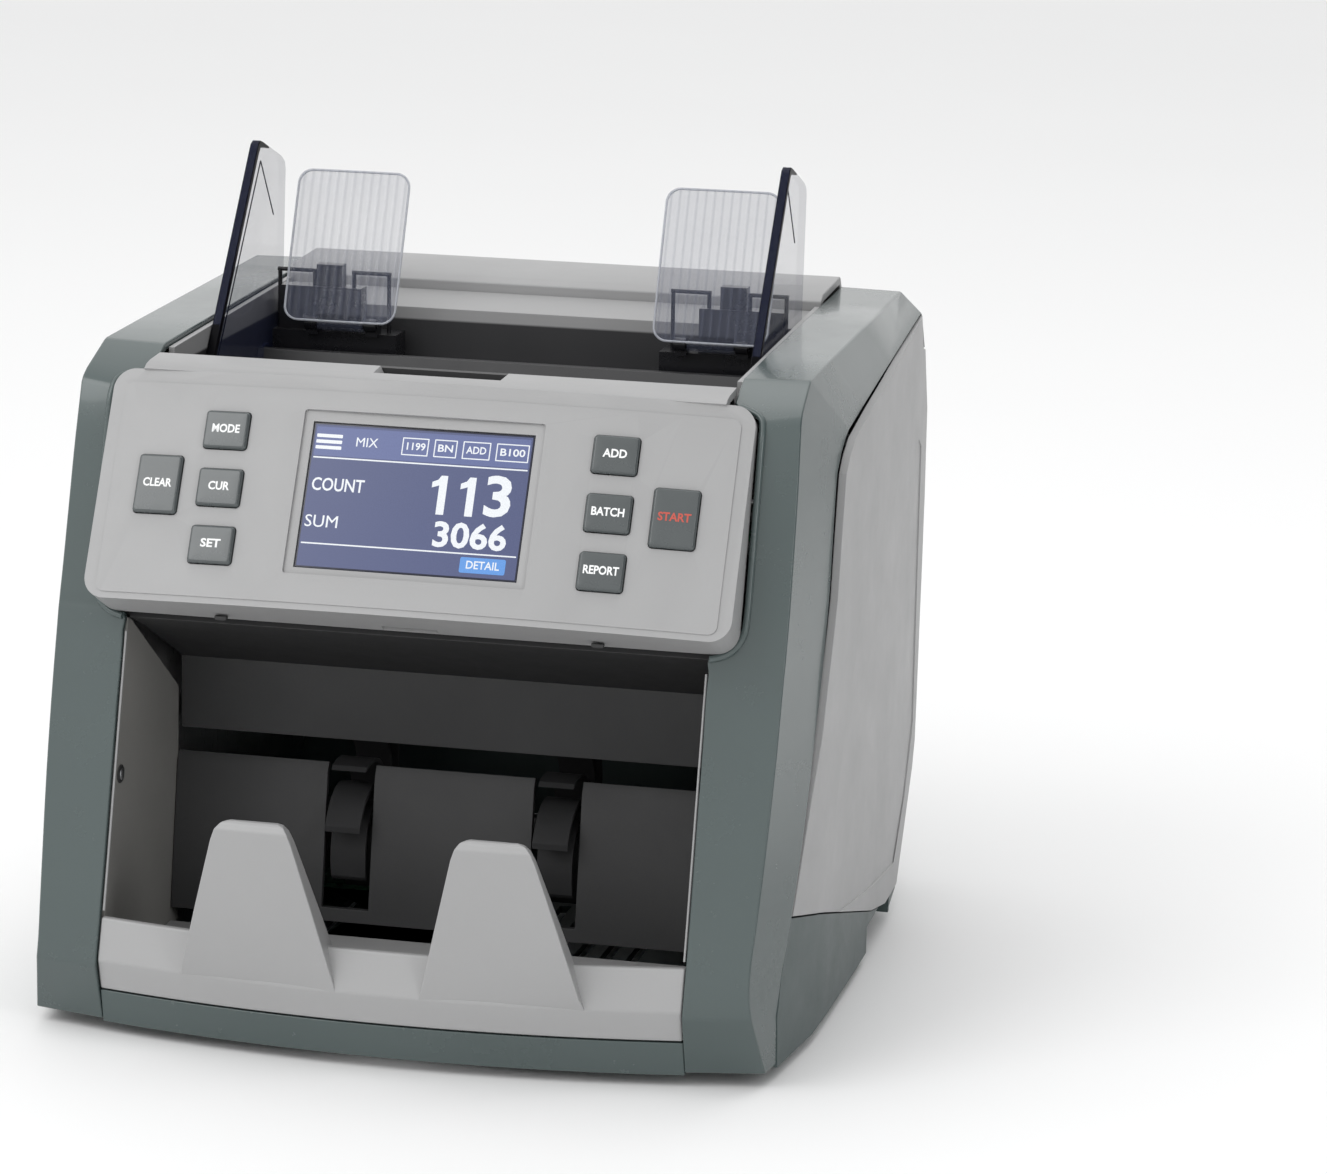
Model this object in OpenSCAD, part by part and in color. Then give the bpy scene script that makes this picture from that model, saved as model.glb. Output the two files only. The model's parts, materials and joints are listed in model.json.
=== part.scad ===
// Desktop banknote counter with a sloping top hopper and a front stacking pocket.
// X runs to the right seen from the front, Y to the rear, Z up. Sizes in mm.

/* [Overall] */
// half width of the pocket opening between the front columns
pocket_half = 95; // [90:1:97]
// barrel bulge: how far the side covers stand out at mid depth
side_bulge = 126.8; // [126:0.2:128]
// wall thickness of the moulded covers
wall = 2.6; // [2:0.1:3]
// height of the rubber feet under the base pan
foot_h = 3.9; // [3:0.1:3.9]

/* [Control panel] */
// slope of the control panel back from vertical, degrees
panel_tilt = 27.4; // [26:0.1:28]
// half width of the control panel
panel_half = 104.3; // [102:0.1:104.3]
// slope length of the control panel up to its shoulders
panel_len = 75.6; // [75:0.1:76]
// thickness of the panel's front plate
panel_skin = 2.5; // [2:0.1:3]
// radius of the panel's slight outward curve
panel_r = 1400; // [1300:50:2000]
// how far the key caps stand out of the panel
key_proud = 2.0; // [1:0.1:2.5]
// gap around each key cap
key_gap = 0.3; // [0.3:0.05:0.4]

/* [Hopper] */
// angle of the hopper floor below horizontal, degrees
floor_slope = 34; // [33:0.5:35]
// distance from the middle to each hopper side guide
guide_x = 91; // [90.5:0.1:91]
// how far the guides slide inward
guide_travel = 28; // [20:1:28]
// lean of the clear note plates back from vertical, degrees
plate_lean = 22; // [20:0.5:24]

/* [Drive] */
// radius of the feed roller tyres
feed_r = 22; // [21:0.1:22]
// radius of the pickup roller tyres
pickup_r = 14; // [13:0.1:14]
// radius of the stacker wheels to the blade tips
fan_r = 26.5; // [24:0.5:27]
// radial running clearance of the shafts in the side plates
run_gap = 0.05; // [0.02:0.01:0.1]

/* [Hidden] */
front_y = -29.5;
rear_y = 247;
mid_y = (front_y + rear_y) / 2;
wide = 300;
bar_cy = 439.8;
plate_in = 97.5;
plate_t = 2;
belt_x = 101;
belt_w = 6;
belt_t = 1.2;
belt_gap = 0.35;
// unit vectors along the hopper floor (down to the rear) and out of it
fy = cos(floor_slope);
fz = -sin(floor_slope);
ny = sin(floor_slope);
nz = cos(floor_slope);
floor_y = 58;
floor_z = 200;
floor_len = 90;
feed_s = 94;
feed_y = floor_y + feed_s * fy - (feed_r - 0.3) * ny;
feed_z = floor_z + feed_s * fz - (feed_r - 0.3) * nz;
pick_s = 46;
pick_y = floor_y + pick_s * fy - (pickup_r - 0.8) * ny;
pick_z = floor_z + pick_s * fz - (pickup_r - 0.8) * nz;
// straight run of the note path from the feed roller down to the stacker wheels
exit_y = feed_y + feed_r * 0.44;
exit_z = feed_z - feed_r * 0.9;
run_ey = -0.9 / norm([0.9, 0.44]);
run_ez = -0.44 / norm([0.9, 0.44]);
fan_y = 84;
fan_z = 55;
fan_x = 35;
fan_w = 12;
nip_t = 44;
nip_r = 8;
nip_y = exit_y + nip_t * run_ey - (nip_r + 0.2) * run_ez;
nip_z = exit_z + nip_t * run_ez + (nip_r + 0.2) * run_ey;
retard_r = 9;
retard_y = feed_y + (feed_r + retard_r + 0.4) * cos(48);
retard_z = feed_z + (feed_r + retard_r + 0.4) * sin(48);
motor_y = 176;
motor_z = 82;
motor_r = 21;
motor_pulley_r = 8;
feed_pulley_r = 14;
pick_drive_r = 11;
pick_pulley_r = 7;
fan_motor_y = 116;
fan_motor_z = 34;
fan_motor_r = 12;
fan_pulley_r = 12;
fan_drive_r = 5;
hinge_y = 243.5;
hinge_z = 101;
pinion_s = 68;
pin_y = 151.8;
pin_z = 205.4;
slate = [0.30, 0.34, 0.34];
light = [0.70, 0.70, 0.70];
dark = [0.15, 0.15, 0.16];
steel = [0.72, 0.73, 0.75];
rubber = [0.10, 0.10, 0.11];
amber = [0.80, 0.62, 0.25];
smoke = [0.25, 0.27, 0.35, 0.5];
clear = [0.85, 0.88, 0.90, 0.4];
board = [0.08, 0.32, 0.18];

// ---------- placing helpers ----------

// machine frame: Y is measured from the front corners of the base
module placed() translate([0, -mid_y, 0]) children();

// a Y-Z outline carried along X
module along_x(x0, x1)
  translate([x0, 0, 0])
    rotate([90, 0, 90])
      linear_extrude(x1 - x0) children();

// an X-Z outline carried along Y
module along_y(y0, y1)
  translate([0, y1, 0])
    rotate([90, 0, 0])
      linear_extrude(y1 - y0) children();

// a round bar along X
module rod_x(x0, x1, y, z, r)
  translate([x0, y, z])
    rotate([0, 90, 0])
      cylinder(h = x1 - x0, r = r, $fn = 96);

// a box given by its two corners
module block(a, b) translate(a) cube(b - a);

// a rounded rectangle about its middle
module round_rect(w, h, r) {
  square([w - 2 * r, h], center = true);
  square([w, h - 2 * r], center = true);
  for (x = [-1, 1]) for (y = [-1, 1])
    translate([x * (w / 2 - r), y * (h / 2 - r)])
      circle(r = r, $fn = 48);
}

// panel frame: X across, Y up the slope, Z out of the panel
module on_panel() translate([0, 0.8, 141.5]) rotate([90 - panel_tilt, 0, 0]) children();

// a spot on the panel's curved face
module on_face(u, v)
  translate([panel_r * sin(u / panel_r * 180 / PI), v,
    2 + panel_r * (cos(u / panel_r * 180 / PI) - 1)])
    rotate([0, u / panel_r * 180 / PI, 0]) children();

// hopper floor frame: Y along the floor to the rear, Z out of the floor
module on_floor() translate([0, floor_y, floor_z]) rotate([-floor_slope, 0, 0]) children();

// mirror a part made for the +X side onto the -X side
module other_side() mirror([1, 0, 0]) children();

// ---------- slate front frame ----------

// each row: inner edge x, y, z; ridge x, y, z; outer edge x, y, z; inward direction angle
frame_rows = [
  [95.2, -5.9, 3.9, 119.7, 0.0, 3.9, 121.0, 8.0, 3.9, 0],
  [95.2, -12.6, 24.3, 116.4, -8.7, 24.3, 120.6, 5.5, 22.0, 0],
  [95.2, -11.2, 30.0, 115.6, -9.2, 31.0, 121.0, 7.5, 32.0, 0],
  [95.2, -7.8, 41.0, 115.5, -7.8, 41.0, 122.2, 12.0, 41.0, 0],
  [95.2, -4.2, 54.0, 116.2, -3.6, 54.0, 123.4, 19.0, 54.0, 0],
  [95.2, 2.6, 80.0, 117.4, 4.2, 80.0, 124.0, 33.0, 80.0, 0],
  [95.2, 8.9, 104.0, 118.1, 11.4, 104.0, 124.0, 45.0, 104.0, 0],
  [95.2, 15.0, 127.0, 118.4, 18.2, 127.0, 124.0, 56.0, 127.0, 0],
  [95.6, 16.6, 132.6, 118.5, 20.0, 132.6, 124.0, 58.0, 132.6, 0],
  [98.2, 17.5, 134.0, 118.5, 20.6, 134.4, 124.0, 58.8, 134.6, 0],
  [102.2, 18.6, 137.2, 118.5, 21.6, 137.4, 124.0, 60.0, 138.0, 0],
  [105.0, 20.2, 142.0, 118.5, 23.2, 142.0, 124.0, 61.6, 143.0, 0],
  [105.2, 26.0, 163.0, 118.3, 29.4, 163.0, 124.0, 65.6, 164.0, 6],
  [105.2, 32.0, 184.0, 118.0, 35.2, 184.0, 124.0, 69.6, 182.0, 14],
  [105.2, 36.5, 200.0, 117.4, 39.4, 201.0, 124.0, 75.0, 187.0, 30],
  [104.9, 38.8, 204.2, 117.2, 42.0, 204.8, 124.0, 78.5, 189.0, 45],
  [98.6, 40.4, 207.3, 117.0, 45.8, 207.3, 124.0, 80.6, 190.0, 54],
  [95.2, 44.6, 208.4, 116.9, 48.2, 208.6, 124.0, 81.8, 190.5, 60],
  [95.2, 51.0, 210.3, 116.8, 52.0, 210.4, 124.0, 83.6, 191.2, 68],
  [95.2, 57.0, 212.6, 116.4, 59.4, 213.0, 124.0, 87.5, 192.4, 80],
  [95.2, 95.0, 213.8, 116.4, 95.0, 213.9, 124.0, 112.0, 195.6, 90],
  [95.2, 150.0, 215.2, 116.4, 150.0, 215.0, 124.0, 158.0, 201.4, 90],
  [95.2, 220.0, 216.8, 116.4, 220.0, 216.4, 124.0, 221.0, 209.0, 100],
  [95.2, 226.0, 212.2, 116.4, 226.0, 211.4, 124.0, 225.0, 203.4, 130],
  [95.2, 233.4, 195.6, 116.4, 233.2, 195.4, 124.0, 230.2, 195.0, 180]];

function ring(r, t) =
  let (dy = cos(r[9]) * t, dz = -sin(r[9]) * t)
  [[r[0], r[1], r[2]], [r[3], r[4], r[5]], [r[6], r[7], r[8]],
   [r[6] - t, r[7] + dy * 0.2, r[8] + dz * 0.2],
   [r[3] - 0.7 * t, r[4] + dy, r[5] + dz],
   [r[0], r[1] + dy, r[2] + dz]];

// skin through a list of rings with the same number of points
module loft(rings) {
  n = len(rings[0]);
  m = len(rings);
  pts = [for (g = rings) each g];
  sides = [for (i = [0:m - 2]) for (j = [0:n - 1])
    each [[i * n + j, i * n + (j + 1) % n, (i + 1) * n + j],
          [i * n + (j + 1) % n, (i + 1) * n + (j + 1) % n, (i + 1) * n + j]]];
  polyhedron(points = pts,
    faces = concat(sides, [[for (j = [n - 1:-1:0]) j]], [[for (j = [0:n - 1]) (m - 1) * n + j]]));
}

module frame_half() color(slate) placed() loft([for (r = frame_rows) ring(r, wall)]);
module frame_right() frame_half();
module frame_left() other_side() frame_half();

// lower front bar between the columns, curved in plan
module front_bar() color(slate) placed() intersection() {
  translate([0, bar_cy, 0])
    rotate_extrude($fn = 360)
      polygon([[452.6, 3.9], [455.8, 3.9], [458.4, 15.4], [455.4, 15.4]]);
  block([-pocket_half - 0.1, -40, 0], [pocket_half + 0.1, 20, 40]);
}

// ---------- side covers and base ----------

cover_outline = [[21, 50], [35, 79.5], [47, 103.5], [60, 133], [63.8, 142.5], [67.8, 163.5],
  [71.8, 181.5], [77.2, 186.5], [85.2, 190.6], [112.2, 195.2], [158.2, 201], [220.4, 208.2],
  [224.2, 202.6], [229, 194.2], [233.6, 194.2], [240, 182], [246, 171], [247, 140],
  [245.5, 110], [244, 94.5], [242.4, 70], [240.6, 51], [234.6, 42.4], [221, 30.5],
  [199, 9.5], [171.5, 10.6], [141.9, 16.8], [99.9, 28.8], [50.2, 42.9]];

// the covers' rear edge wraps round to the middle
rear_strip = [[233.6, 194.2], [240, 182], [246, 171], [247, 140], [245.5, 110], [244, 94.5],
  [242.4, 70], [240.6, 51], [238, 51], [239.8, 70.2], [241.4, 94.7], [242.9, 110.2],
  [244.4, 140], [243.4, 170.4], [237.6, 180.8], [230.6, 194.2]];

module barrel(x_out, h0, h1)
  intersection() {
    translate([x_out - 2200, 112, h0]) cylinder(h = h1 - h0, r = 2200, $fn = 360);
    // the sides draw in towards the front corners
    translate([x_out - side_bulge + 121.3, 8, h0]) rotate([0, 0, -6.8])
      translate([-260, -100, 0]) cube([260, 500, h1 - h0]);
  }

module side_cover_half() color(light) placed() difference() {
  union() {
    difference() {
      intersection() {
        along_x(112, 130) polygon(cover_outline);
        barrel(side_bulge, 0, 230);
      }
      barrel(side_bulge - wall, -1, 231);
    }
    intersection() {
      along_x(95.2, 130) polygon(rear_strip);
      barrel(side_bulge, 0, 230);
    }
  }
  // shallow styling step on the lower rear part
  difference() {
    along_x(112, 130)
      polygon([[55, 38], [76, 83], [106.5, 132.6], [118, 150], [223, 164], [231, 160],
        [232, 60], [214, 38], [190, 20], [140, 26]]);
    barrel(side_bulge - 0.5, -1, 231);
  }
}
module side_cover_right() side_cover_half();
module side_cover_left() other_side() side_cover_half();

pan_outline = [[10, 3.9], [172, 3.9], [199, 8.6], [171.5, 10.2], [141.9, 16.4], [99.9, 28.4],
  [50, 42.4], [20, 49.6], [12, 33], [9, 20]];

module pan_side() {
  difference() {
    intersection() {
      along_x(112, 130) polygon(pan_outline);
      barrel(side_bulge - 0.4, 0, 60);
    }
    barrel(side_bulge - 0.4 - wall, -1, 61);
    block([108, 135, 0], [132, 183, 13]);
  }
  // hand recess under the side
  difference() {
    block([108, 133, 3.9], [125.2, 185, 15]);
    block([110, 135, 0], [132, 183, 13]);
    difference() {
      block([100, 120, 0], [140, 200, 30]);
      barrel(side_bulge - 0.6, -1, 61);
    }
    along_x(100, 140) polygon([[120, 15.1], [146, 15.1], [171.5, 9.9], [199, 8], [199, 40],
      [120, 40]]);
  }
}

module base_pan() color(slate) placed() {
  difference() {
    intersection() {
      block([-wide, -3, 3.9], [wide, 186, 3.9 + wall]);
      union() {
        barrel(side_bulge - 0.6, 0, 60);
      }
      other_side() barrel(side_bulge - 0.6, 0, 60);
    }
    for (s = [-1, 1]) {
      block([s < 0 ? -132 : 110, 135, 0], [s < 0 ? -110 : 132, 183, 13]);
      // room for the column feet
      block([s < 0 ? -132 : 94, -10, 0], [s < 0 ? -94 : 132, 10, 13]);
    }
    // cooling slots
    for (i = [-6:6])
      translate([i * 9, 120, 0])
        block([-2, -30, 0], [2, 30, 13]);
  }
  // rear wall curving up to the cover hinge
  difference() {
    along_x(-120, 120) polygon([[180, 3.9], [186, 3.9], [199, 8.6], [221, 29.8], [234.2, 42],
      [239.8, 50], [237, 50.4], [232, 45], [219, 33], [198, 11.6], [185, 6.5], [180, 6.5]]);
  }
  pan_side();
  other_side() pan_side();
  // bosses for the side plates
  for (s = [-1, 1]) for (y = [40, 120, 200])
    block([s < 0 ? -plate_in : plate_in - 8, y - 5, y > 190 ? 14 : 6],
      [s < 0 ? -plate_in + 8 : plate_in, y + 5, y > 190 ? 30 : 15.4]);
}

// rear part of the top between the rails
module top_cover() color(light) placed() along_x(-94.9, 94.9)
  polygon([[186.4, 196], [186.4, 216.6], [190, 218.6], [221, 220], [227, 212], [233.4, 195.8],
    [230.4, 195.8], [224.6, 210.4], [219.8, 217.2], [191, 215.9], [189, 214.6], [189, 196]]);

// hinged rear access cover
module rear_cover() color(light) placed() difference() {
  union() {
    along_x(-94.6, 94.6) polygon([[233.8, 194.2], [240, 182], [246, 171], [247, 140],
      [245.5, 110], [245.2, 101], [242.2, 101], [242.9, 110.2], [244.4, 140], [243.4, 170.4],
      [237.6, 180.8], [230.8, 194.2]]);
    for (s = [-1, 1]) rod_x(s * 84 - 5.6, s * 84 + 5.6, hinge_y, hinge_z, 1.9);
  }
  for (s = [-1, 1]) {
    rod_x(s * 84 - 12, s * 84 + 12, hinge_y, hinge_z, 0.9 + run_gap);
    // room for the hinge lugs
    for (t = [-1, 1])
      block([s * 84 + t * 8 - 2.1, 238, 98], [s * 84 + t * 8 + 2.1, 250, 104]);
  }
}

// fixed lower rear panel with the openings for the power inlet and the switch
module rear_panel() color(slate) placed() {
  difference() {
    along_x(-94.9, 94.9) polygon([[240.6, 51], [242.4, 70], [244, 94.5], [244.8, 98.6],
      [242, 98.6], [241.4, 94.7], [239.8, 70.2], [238, 51]]);
    block([51.8, 230, 63.8], [80.2, 250, 90.2]);
    block([83.8, 230, 66.8], [94.2, 250, 85.2]);
    // service port opening
    block([-72.2, 230, 65.8], [-49.8, 250, 80.2]);
    // vent slots
    for (i = [0:7])
      block([-40 + i * 10, 230, 60], [-36 + i * 10, 250, 92]);
  }
  // hinge pins for the access cover on two pairs of lugs
  for (s = [-1, 1]) {
    rod_x(s * 84 - 9.6, s * 84 + 9.6, hinge_y, hinge_z, 0.9);
    for (t = [-1, 1])
      block([s * 84 + t * 8 - 1.6, 242.1, 97], [s * 84 + t * 8 + 1.6, 245, 102.4]);
  }
}

// ---------- control panel ----------

module panel_outline(inset)
  translate([0, panel_len / 2])
    round_rect(2 * (panel_half - inset), panel_len - 2 * inset, 7 - inset);

keys = [["mode", -63.8, 56.3, 14.4, 12.2], ["cur", -63.4, 37.5, 14.4, 12.2],
  ["set", -63.3, 18.8, 14.4, 12.2], ["clear", -84, 37.6, 14.4, 19],
  ["add", 62.2, 56.3, 14.4, 12.2], ["batch", 62.2, 37.5, 14.4, 12.2],
  ["report", 62.3, 18.8, 14.4, 12.2], ["start", 83, 37.5, 14.4, 19]];

module control_panel() color(light) placed() {
  on_panel() difference() {
    union() {
      // curved front plate
      difference() {
        intersection() {
          translate([0, 0, -12]) linear_extrude(20) panel_outline(0);
          translate([0, -10, 2 - panel_r]) rotate([-90, 0, 0])
            cylinder(h = 120, r = panel_r, $fn = 360);
        }
        translate([0, -20, 2 - panel_r]) rotate([-90, 0, 0])
          cylinder(h = 140, r = panel_r - panel_skin, $fn = 360);
      }
      // side, bottom and top walls back to the frame
      difference() {
        translate([0, 0, -17.9]) linear_extrude(17.9) difference() {
          panel_outline(0);
          panel_outline(2.2);
        }
        translate([0, -10, 2 - panel_r]) rotate([-90, 0, 0])
          difference() {
            cylinder(h = 120, r = panel_r + 40, $fn = 360);
            translate([0, 0, -1]) cylinder(h = 122, r = panel_r - 1, $fn = 360);
          }
        along_x(-120, 120) polygon([[-1, -17.9], [80, -3.4], [80, -30], [-1, -30]]);
      }
      // raised inner field
      intersection() {
        translate([0, 36.6, -12]) linear_extrude(20) round_rect(200, 69, 3);
        translate([0, -10, 2 - panel_r]) rotate([-90, 0, 0])
          difference() {
            cylinder(h = 120, r = panel_r + 0.35, $fn = 360);
            translate([0, 0, -1]) cylinder(h = 122, r = panel_r - 1, $fn = 360);
          }
      }
    }
    // display recess and opening
    translate([0, 38.1, 0.9]) linear_extrude(5) round_rect(78, 53.4, 1);
    translate([0, 37.5, -6]) linear_extrude(12) square([72, 47.6], center = true);
    // key holes
    for (k = keys)
      on_face(k[1], k[2]) translate([0, 0, -6]) linear_extrude(10)
        round_rect(k[3] + 2 * key_gap, k[4] + 2 * key_gap, 1.2 + key_gap);
    // vent notch under the middle
    translate([0, -1, -14]) block([-9, 0, -2], [9, 4, 1.5]);
  }
  // top cap with the finger notch
  difference() {
    along_x(-94.6, 94.6) polygon([[35.6, 208.4], [37.6, 209.5], [41, 210.2], [51, 210.9],
      [51, 208.4], [42, 207.8], [39.4, 207.2], [37.8, 206.4]]);
    along_y(42, 60) polygon([[-18.6, 206], [18.6, 206], [22.6, 214], [-22.6, 214]]);
  }
}

module lcd_window() color([0.05, 0.06, 0.10]) placed() on_panel()
  translate([0, 37.5, -1]) linear_extrude(1.4) square([71.6, 47.2], center = true);

module lcd_module() color(dark) placed() on_panel() {
  translate([0, 37.5, -6.8]) linear_extrude(5.5) square([77, 54], center = true);
  translate([0, 37.5, -8.4]) linear_extrude(1.6) round_rect(96, 60, 2);
}

module key_board() color(board) placed() on_panel() {
  difference() {
    translate([0, 37.5, -13.6]) linear_extrude(1.6) square([196, 60], center = true);
    for (x = [-94, 94]) for (y = [12, 63])
      translate([x, y, -15]) cylinder(h = 5, r = 1.6, $fn = 24);
  }
  for (k = keys)
    translate([k[1], k[2], -12]) {
      block([-3, -3, 0], [3, 3, 2.4]);
      cylinder(h = 12 - 8.9 + on_drop(k[1]), r = 1.7, $fn = 24);
    }
  for (x = [-40, 40]) translate([x, 37.5, -12]) cylinder(h = 3.6, r = 2.4, $fn = 24);
}

// height of the curved face at a distance from the middle, less the level of the first key
function on_drop(u) = 2 + panel_r * (cos(u / panel_r * 180 / PI) - 1);

module key_cap(i) color([0.30, 0.32, 0.32]) placed() on_panel() on_face(keys[i][1], keys[i][2]) {
  w = keys[i][3];
  h = keys[i][4];
  translate([0, 0, -panel_skin - 0.4]) linear_extrude(panel_skin + 0.4 + key_proud - 0.7)
    round_rect(w, h, 1.2);
  translate([0, 0, key_proud - 0.7]) linear_extrude(0.35) round_rect(w - 0.7, h - 0.7, 1);
  translate([0, 0, key_proud - 0.35]) linear_extrude(0.35) round_rect(w - 1.6, h - 1.6, 0.8);
  translate([0, 0, -panel_skin - 1.6]) linear_extrude(1.2) round_rect(w + 2.2, h + 2.2, 1.2);
  translate([0, 0, -7]) cylinder(h = 3.4, r = 2, $fn = 24);
}
module key_mode() key_cap(0);
module key_cur() key_cap(1);
module key_set() key_cap(2);
module key_clear() key_cap(3);
module key_add() key_cap(4);
module key_batch() key_cap(5);
module key_report() key_cap(6);
module key_start() key_cap(7);

// ---------- hopper ----------

module hopper_floor() color(dark) placed() {
  on_floor() difference() {
    block([-92.6, 0, -2.2], [92.6, floor_len, 0]);
    // slots for the pickup and feed tyres
    for (s = [-1, 1]) {
      block([s * 22 - 9, pick_s - 15, -5], [s * 22 + 9, pick_s + 15, 5]);
      block([s * 22 - 10, floor_len - 16, -5], [s * 22 + 10, floor_len + 5, 5]);
      // slots for the side guide feet
      block([s < 0 ? -92.7 : 57, pinion_s - 6, -5], [s < 0 ? -57 : 92.7, pinion_s + 6, 5]);
    }
  }
  // stud for the guide pinion
  on_floor() translate([0, pinion_s, -9]) cylinder(h = 7, r = 1.5, $fn = 32);
  // front wall of the hopper
  along_x(-92.6, 92.6) polygon([[58.6, 199.4], [51.8, 208], [51.8, 210.2], [54, 210.4],
    [60.9, 199.6]]);
}

module hopper_rear_wall() color(light) placed() {
  // leaning wall behind the notes, a trough for the plate holders, then the rear band
  along_x(-92.6, 92.6) polygon([[138.4, 176], [146.4, 196.4], [149.6, 196.4], [150.4, 191.8],
    [169.6, 191.8], [170, 209.6], [186, 213.4], [186, 210.8], [172.4, 207.6], [172, 189.4],
    [148.6, 189.4], [141, 176]]);
  for (s = [-1, 1])
    along_x(s < 0 ? -94.8 : 92.8, s < 0 ? -92.8 : 94.8)
      polygon([[60, 190], [60, 211.2], [150, 214], [186, 215], [186, 196], [172, 188],
        [146, 172], [126, 152], [122, 158]]);
}

// smoky side guide: y-z outline, x0 is its inner face
module guide_plate(s) color(smoke) placed() {
  x0 = s < 0 ? -guide_x - 1.25 : guide_x - 1.25;
  // leaning plate with a clipped rear corner, reaching back over the rear wall
  along_x(x0, x0 + 2.5)
    polygon([[80, 189], [136.6, 265.4], [138.4, 267.6], [140.5, 268.4], [143.5, 267.6],
      [150, 265.2], [164.5, 260], [168, 257.8], [168.8, 255], [167.8, 240], [166.6, 220],
      [166.4, 193.2], [151.4, 193.2], [150.6, 197.6], [145.4, 197.6], [137, 176.6],
      [129, 160], [126, 155.6]]);
  // foot through the floor
  on_floor() block([x0, pinion_s - 5, -8], [x0 + 2.5, pinion_s + 5, 8]);
  // toothed bar below the floor, drawn at its pitch line
  on_floor() {
    r0 = s < 0 ? -guide_x : -6;
    r1 = s < 0 ? 6 : guide_x;
    q0 = s < 0 ? pinion_s + 4.9 : pinion_s - 7.5;
    block([r0, q0, -8], [r1, q0 + 2.6, -5.4]);
    block([s < 0 ? -guide_x - 1.25 : guide_x - 1.25, pinion_s - 7.5, -8],
      [s < 0 ? -guide_x + 1.25 : guide_x + 1.25, pinion_s + 7.5, -5.4]);
  }
}
module guide_right() guide_plate(1);
module guide_left() guide_plate(-1);

module guide_pinion() color([0.9, 0.9, 0.88]) placed() on_floor()
  translate([0, pinion_s, -8]) difference() {
    cylinder(h = 2.6, r = 4.6, $fn = 48);
    translate([0, 0, -1]) cylinder(h = 5, r = 1.5 + run_gap, $fn = 32);
  }

// clear plate that backs the notes, on a hinge barrel
module note_plate(s) color(clear) placed()
  translate([s * 64.5, pin_y, pin_z]) rotate([-plate_lean, 0, 0]) {
    along_y(-4.6, -3) translate([0, 26.2]) round_rect(39.6, 53, 5);
    difference() {
      union() {
        rod_x(-8, 8, 0, 0, 2.4);
        block([-8, -3.2, 0], [8, 0, 2.4]);
      }
      rod_x(-10, 10, 0, 0, 1.2 + run_gap);
    }
  }
module note_plate_right() note_plate(1);
module note_plate_left() note_plate(-1);

// black carrier that rides with the side guide and holds the clear plate
module plate_holder(s) color(rubber) placed() {
  x1 = guide_x - 1.25;
  mirror([s < 0 ? 1 : 0, 0, 0]) {
    block([46, 154.4, 193.4], [x1, 166.2, 202]);
    // pin with its two ears
    rod_x(64.5 - 13, 64.5 + 13, pin_y, pin_z, 1.2);
    for (t = [-1, 1])
      difference() {
        union() {
          rod_x(64.5 + t * 10.6 - 2, 64.5 + t * 10.6 + 2, pin_y, pin_z, 2.2);
          block([64.5 + t * 10.6 - 2, pin_y, 201.5], [64.5 + t * 10.6 + 2, 157, pin_z + 0.4]);
        }
      }
    // spring housings and centre post
    block([59, 156.6, 202], [88, 163.4, 217]);
    block([66, 157.4, 217], [75, 162.4, 224.6]);
    // wire loops
    for (x = [49.6, 76]) {
      for (d = [0, 12.4])
        translate([x + d, 158.6, 202 - (x > 70 ? 0 : 1)]) cylinder(h = 20.6, r = 0.7, $fn = 24);
      rod_x(x - 0.7, x + 13.1, 158.6, 222.2, 0.7);
    }
  }
}
module plate_holder_right() plate_holder(1);
module plate_holder_left() plate_holder(-1);

// ---------- chassis ----------

chassis_outline = [[30, 6.8], [180, 6.8], [196, 20], [222, 46], [232, 60], [232, 190], [222, 204],
  [150, 204], [62, 204], [48, 196], [34, 150], [30, 128], [18, 80], [10, 44], [12, 26], [24, 16]];

module chassis_half(side) {
  difference() {
    along_x(plate_in, plate_in + plate_t) polygon(chassis_outline);
    rod_x(90, 110, feed_y, feed_z, 4 + run_gap);
    rod_x(90, 110, pick_y, pick_z, 3 + run_gap);
    rod_x(90, 110, nip_y, nip_z, 3 + run_gap);
    rod_x(90, 110, fan_y, fan_z, 3 + run_gap);
    if (side > 0) rod_x(90, 110, motor_y, motor_z, 6);
    if (side < 0) rod_x(90, 110, fan_motor_y, fan_motor_z, 4);
    // lightening holes
    for (p = [[64, 126], [176, 128], [206, 150], [172, 164], [56, 168]])
      rod_x(90, 110, p[0], p[1], 11);
  }
}
module chassis_right() color(steel) placed() chassis_half(1);
module chassis_left() color(steel) placed() other_side() chassis_half(-1);

// spacer rods between the plates and the posts that carry the side covers
module tie_rods() color(steel) placed() {
  for (p = [[42, 140], [216, 60], [222, 186], [60, 11]])
    rod_x(-plate_in, plate_in, p[0], p[1], 3);
  for (s = [-1, 1]) for (p = [[150, 60], [200, 110], [100, 186]])
    rod_x(s < 0 ? -122.2 : plate_in + plate_t, s < 0 ? -plate_in - plate_t : 122.2,
      p[0], p[1], 2.5);
}

module pocket_wall_right() color(dark) placed() along_x(pocket_half + 0.2, pocket_half + 1.9)
  polygon([[-3, 39.4], [-6, 30], [-6, 16.2], [68, 16.2], [70, 96], [24, 129], [20.5, 130.4]]);
module pocket_wall_left() other_side() pocket_wall_right();

// roof of the pocket, turning down into the inner guide of the note path
module pocket_roof() color(dark) placed() difference() {
  along_x(-94.9, 94.9) polygon([[20.6, 130.6], [36, 124], [72, 106], path_pt(68, 2),
    path_pt(17, 2), path_pt(17, 4), path_pt(64, 4), [74, 107.4], [37, 126.2],
    [21.6, 132.4]]);
  along_path(-86, 86, 0, 6, 20.8, 36.2);
}

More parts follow.
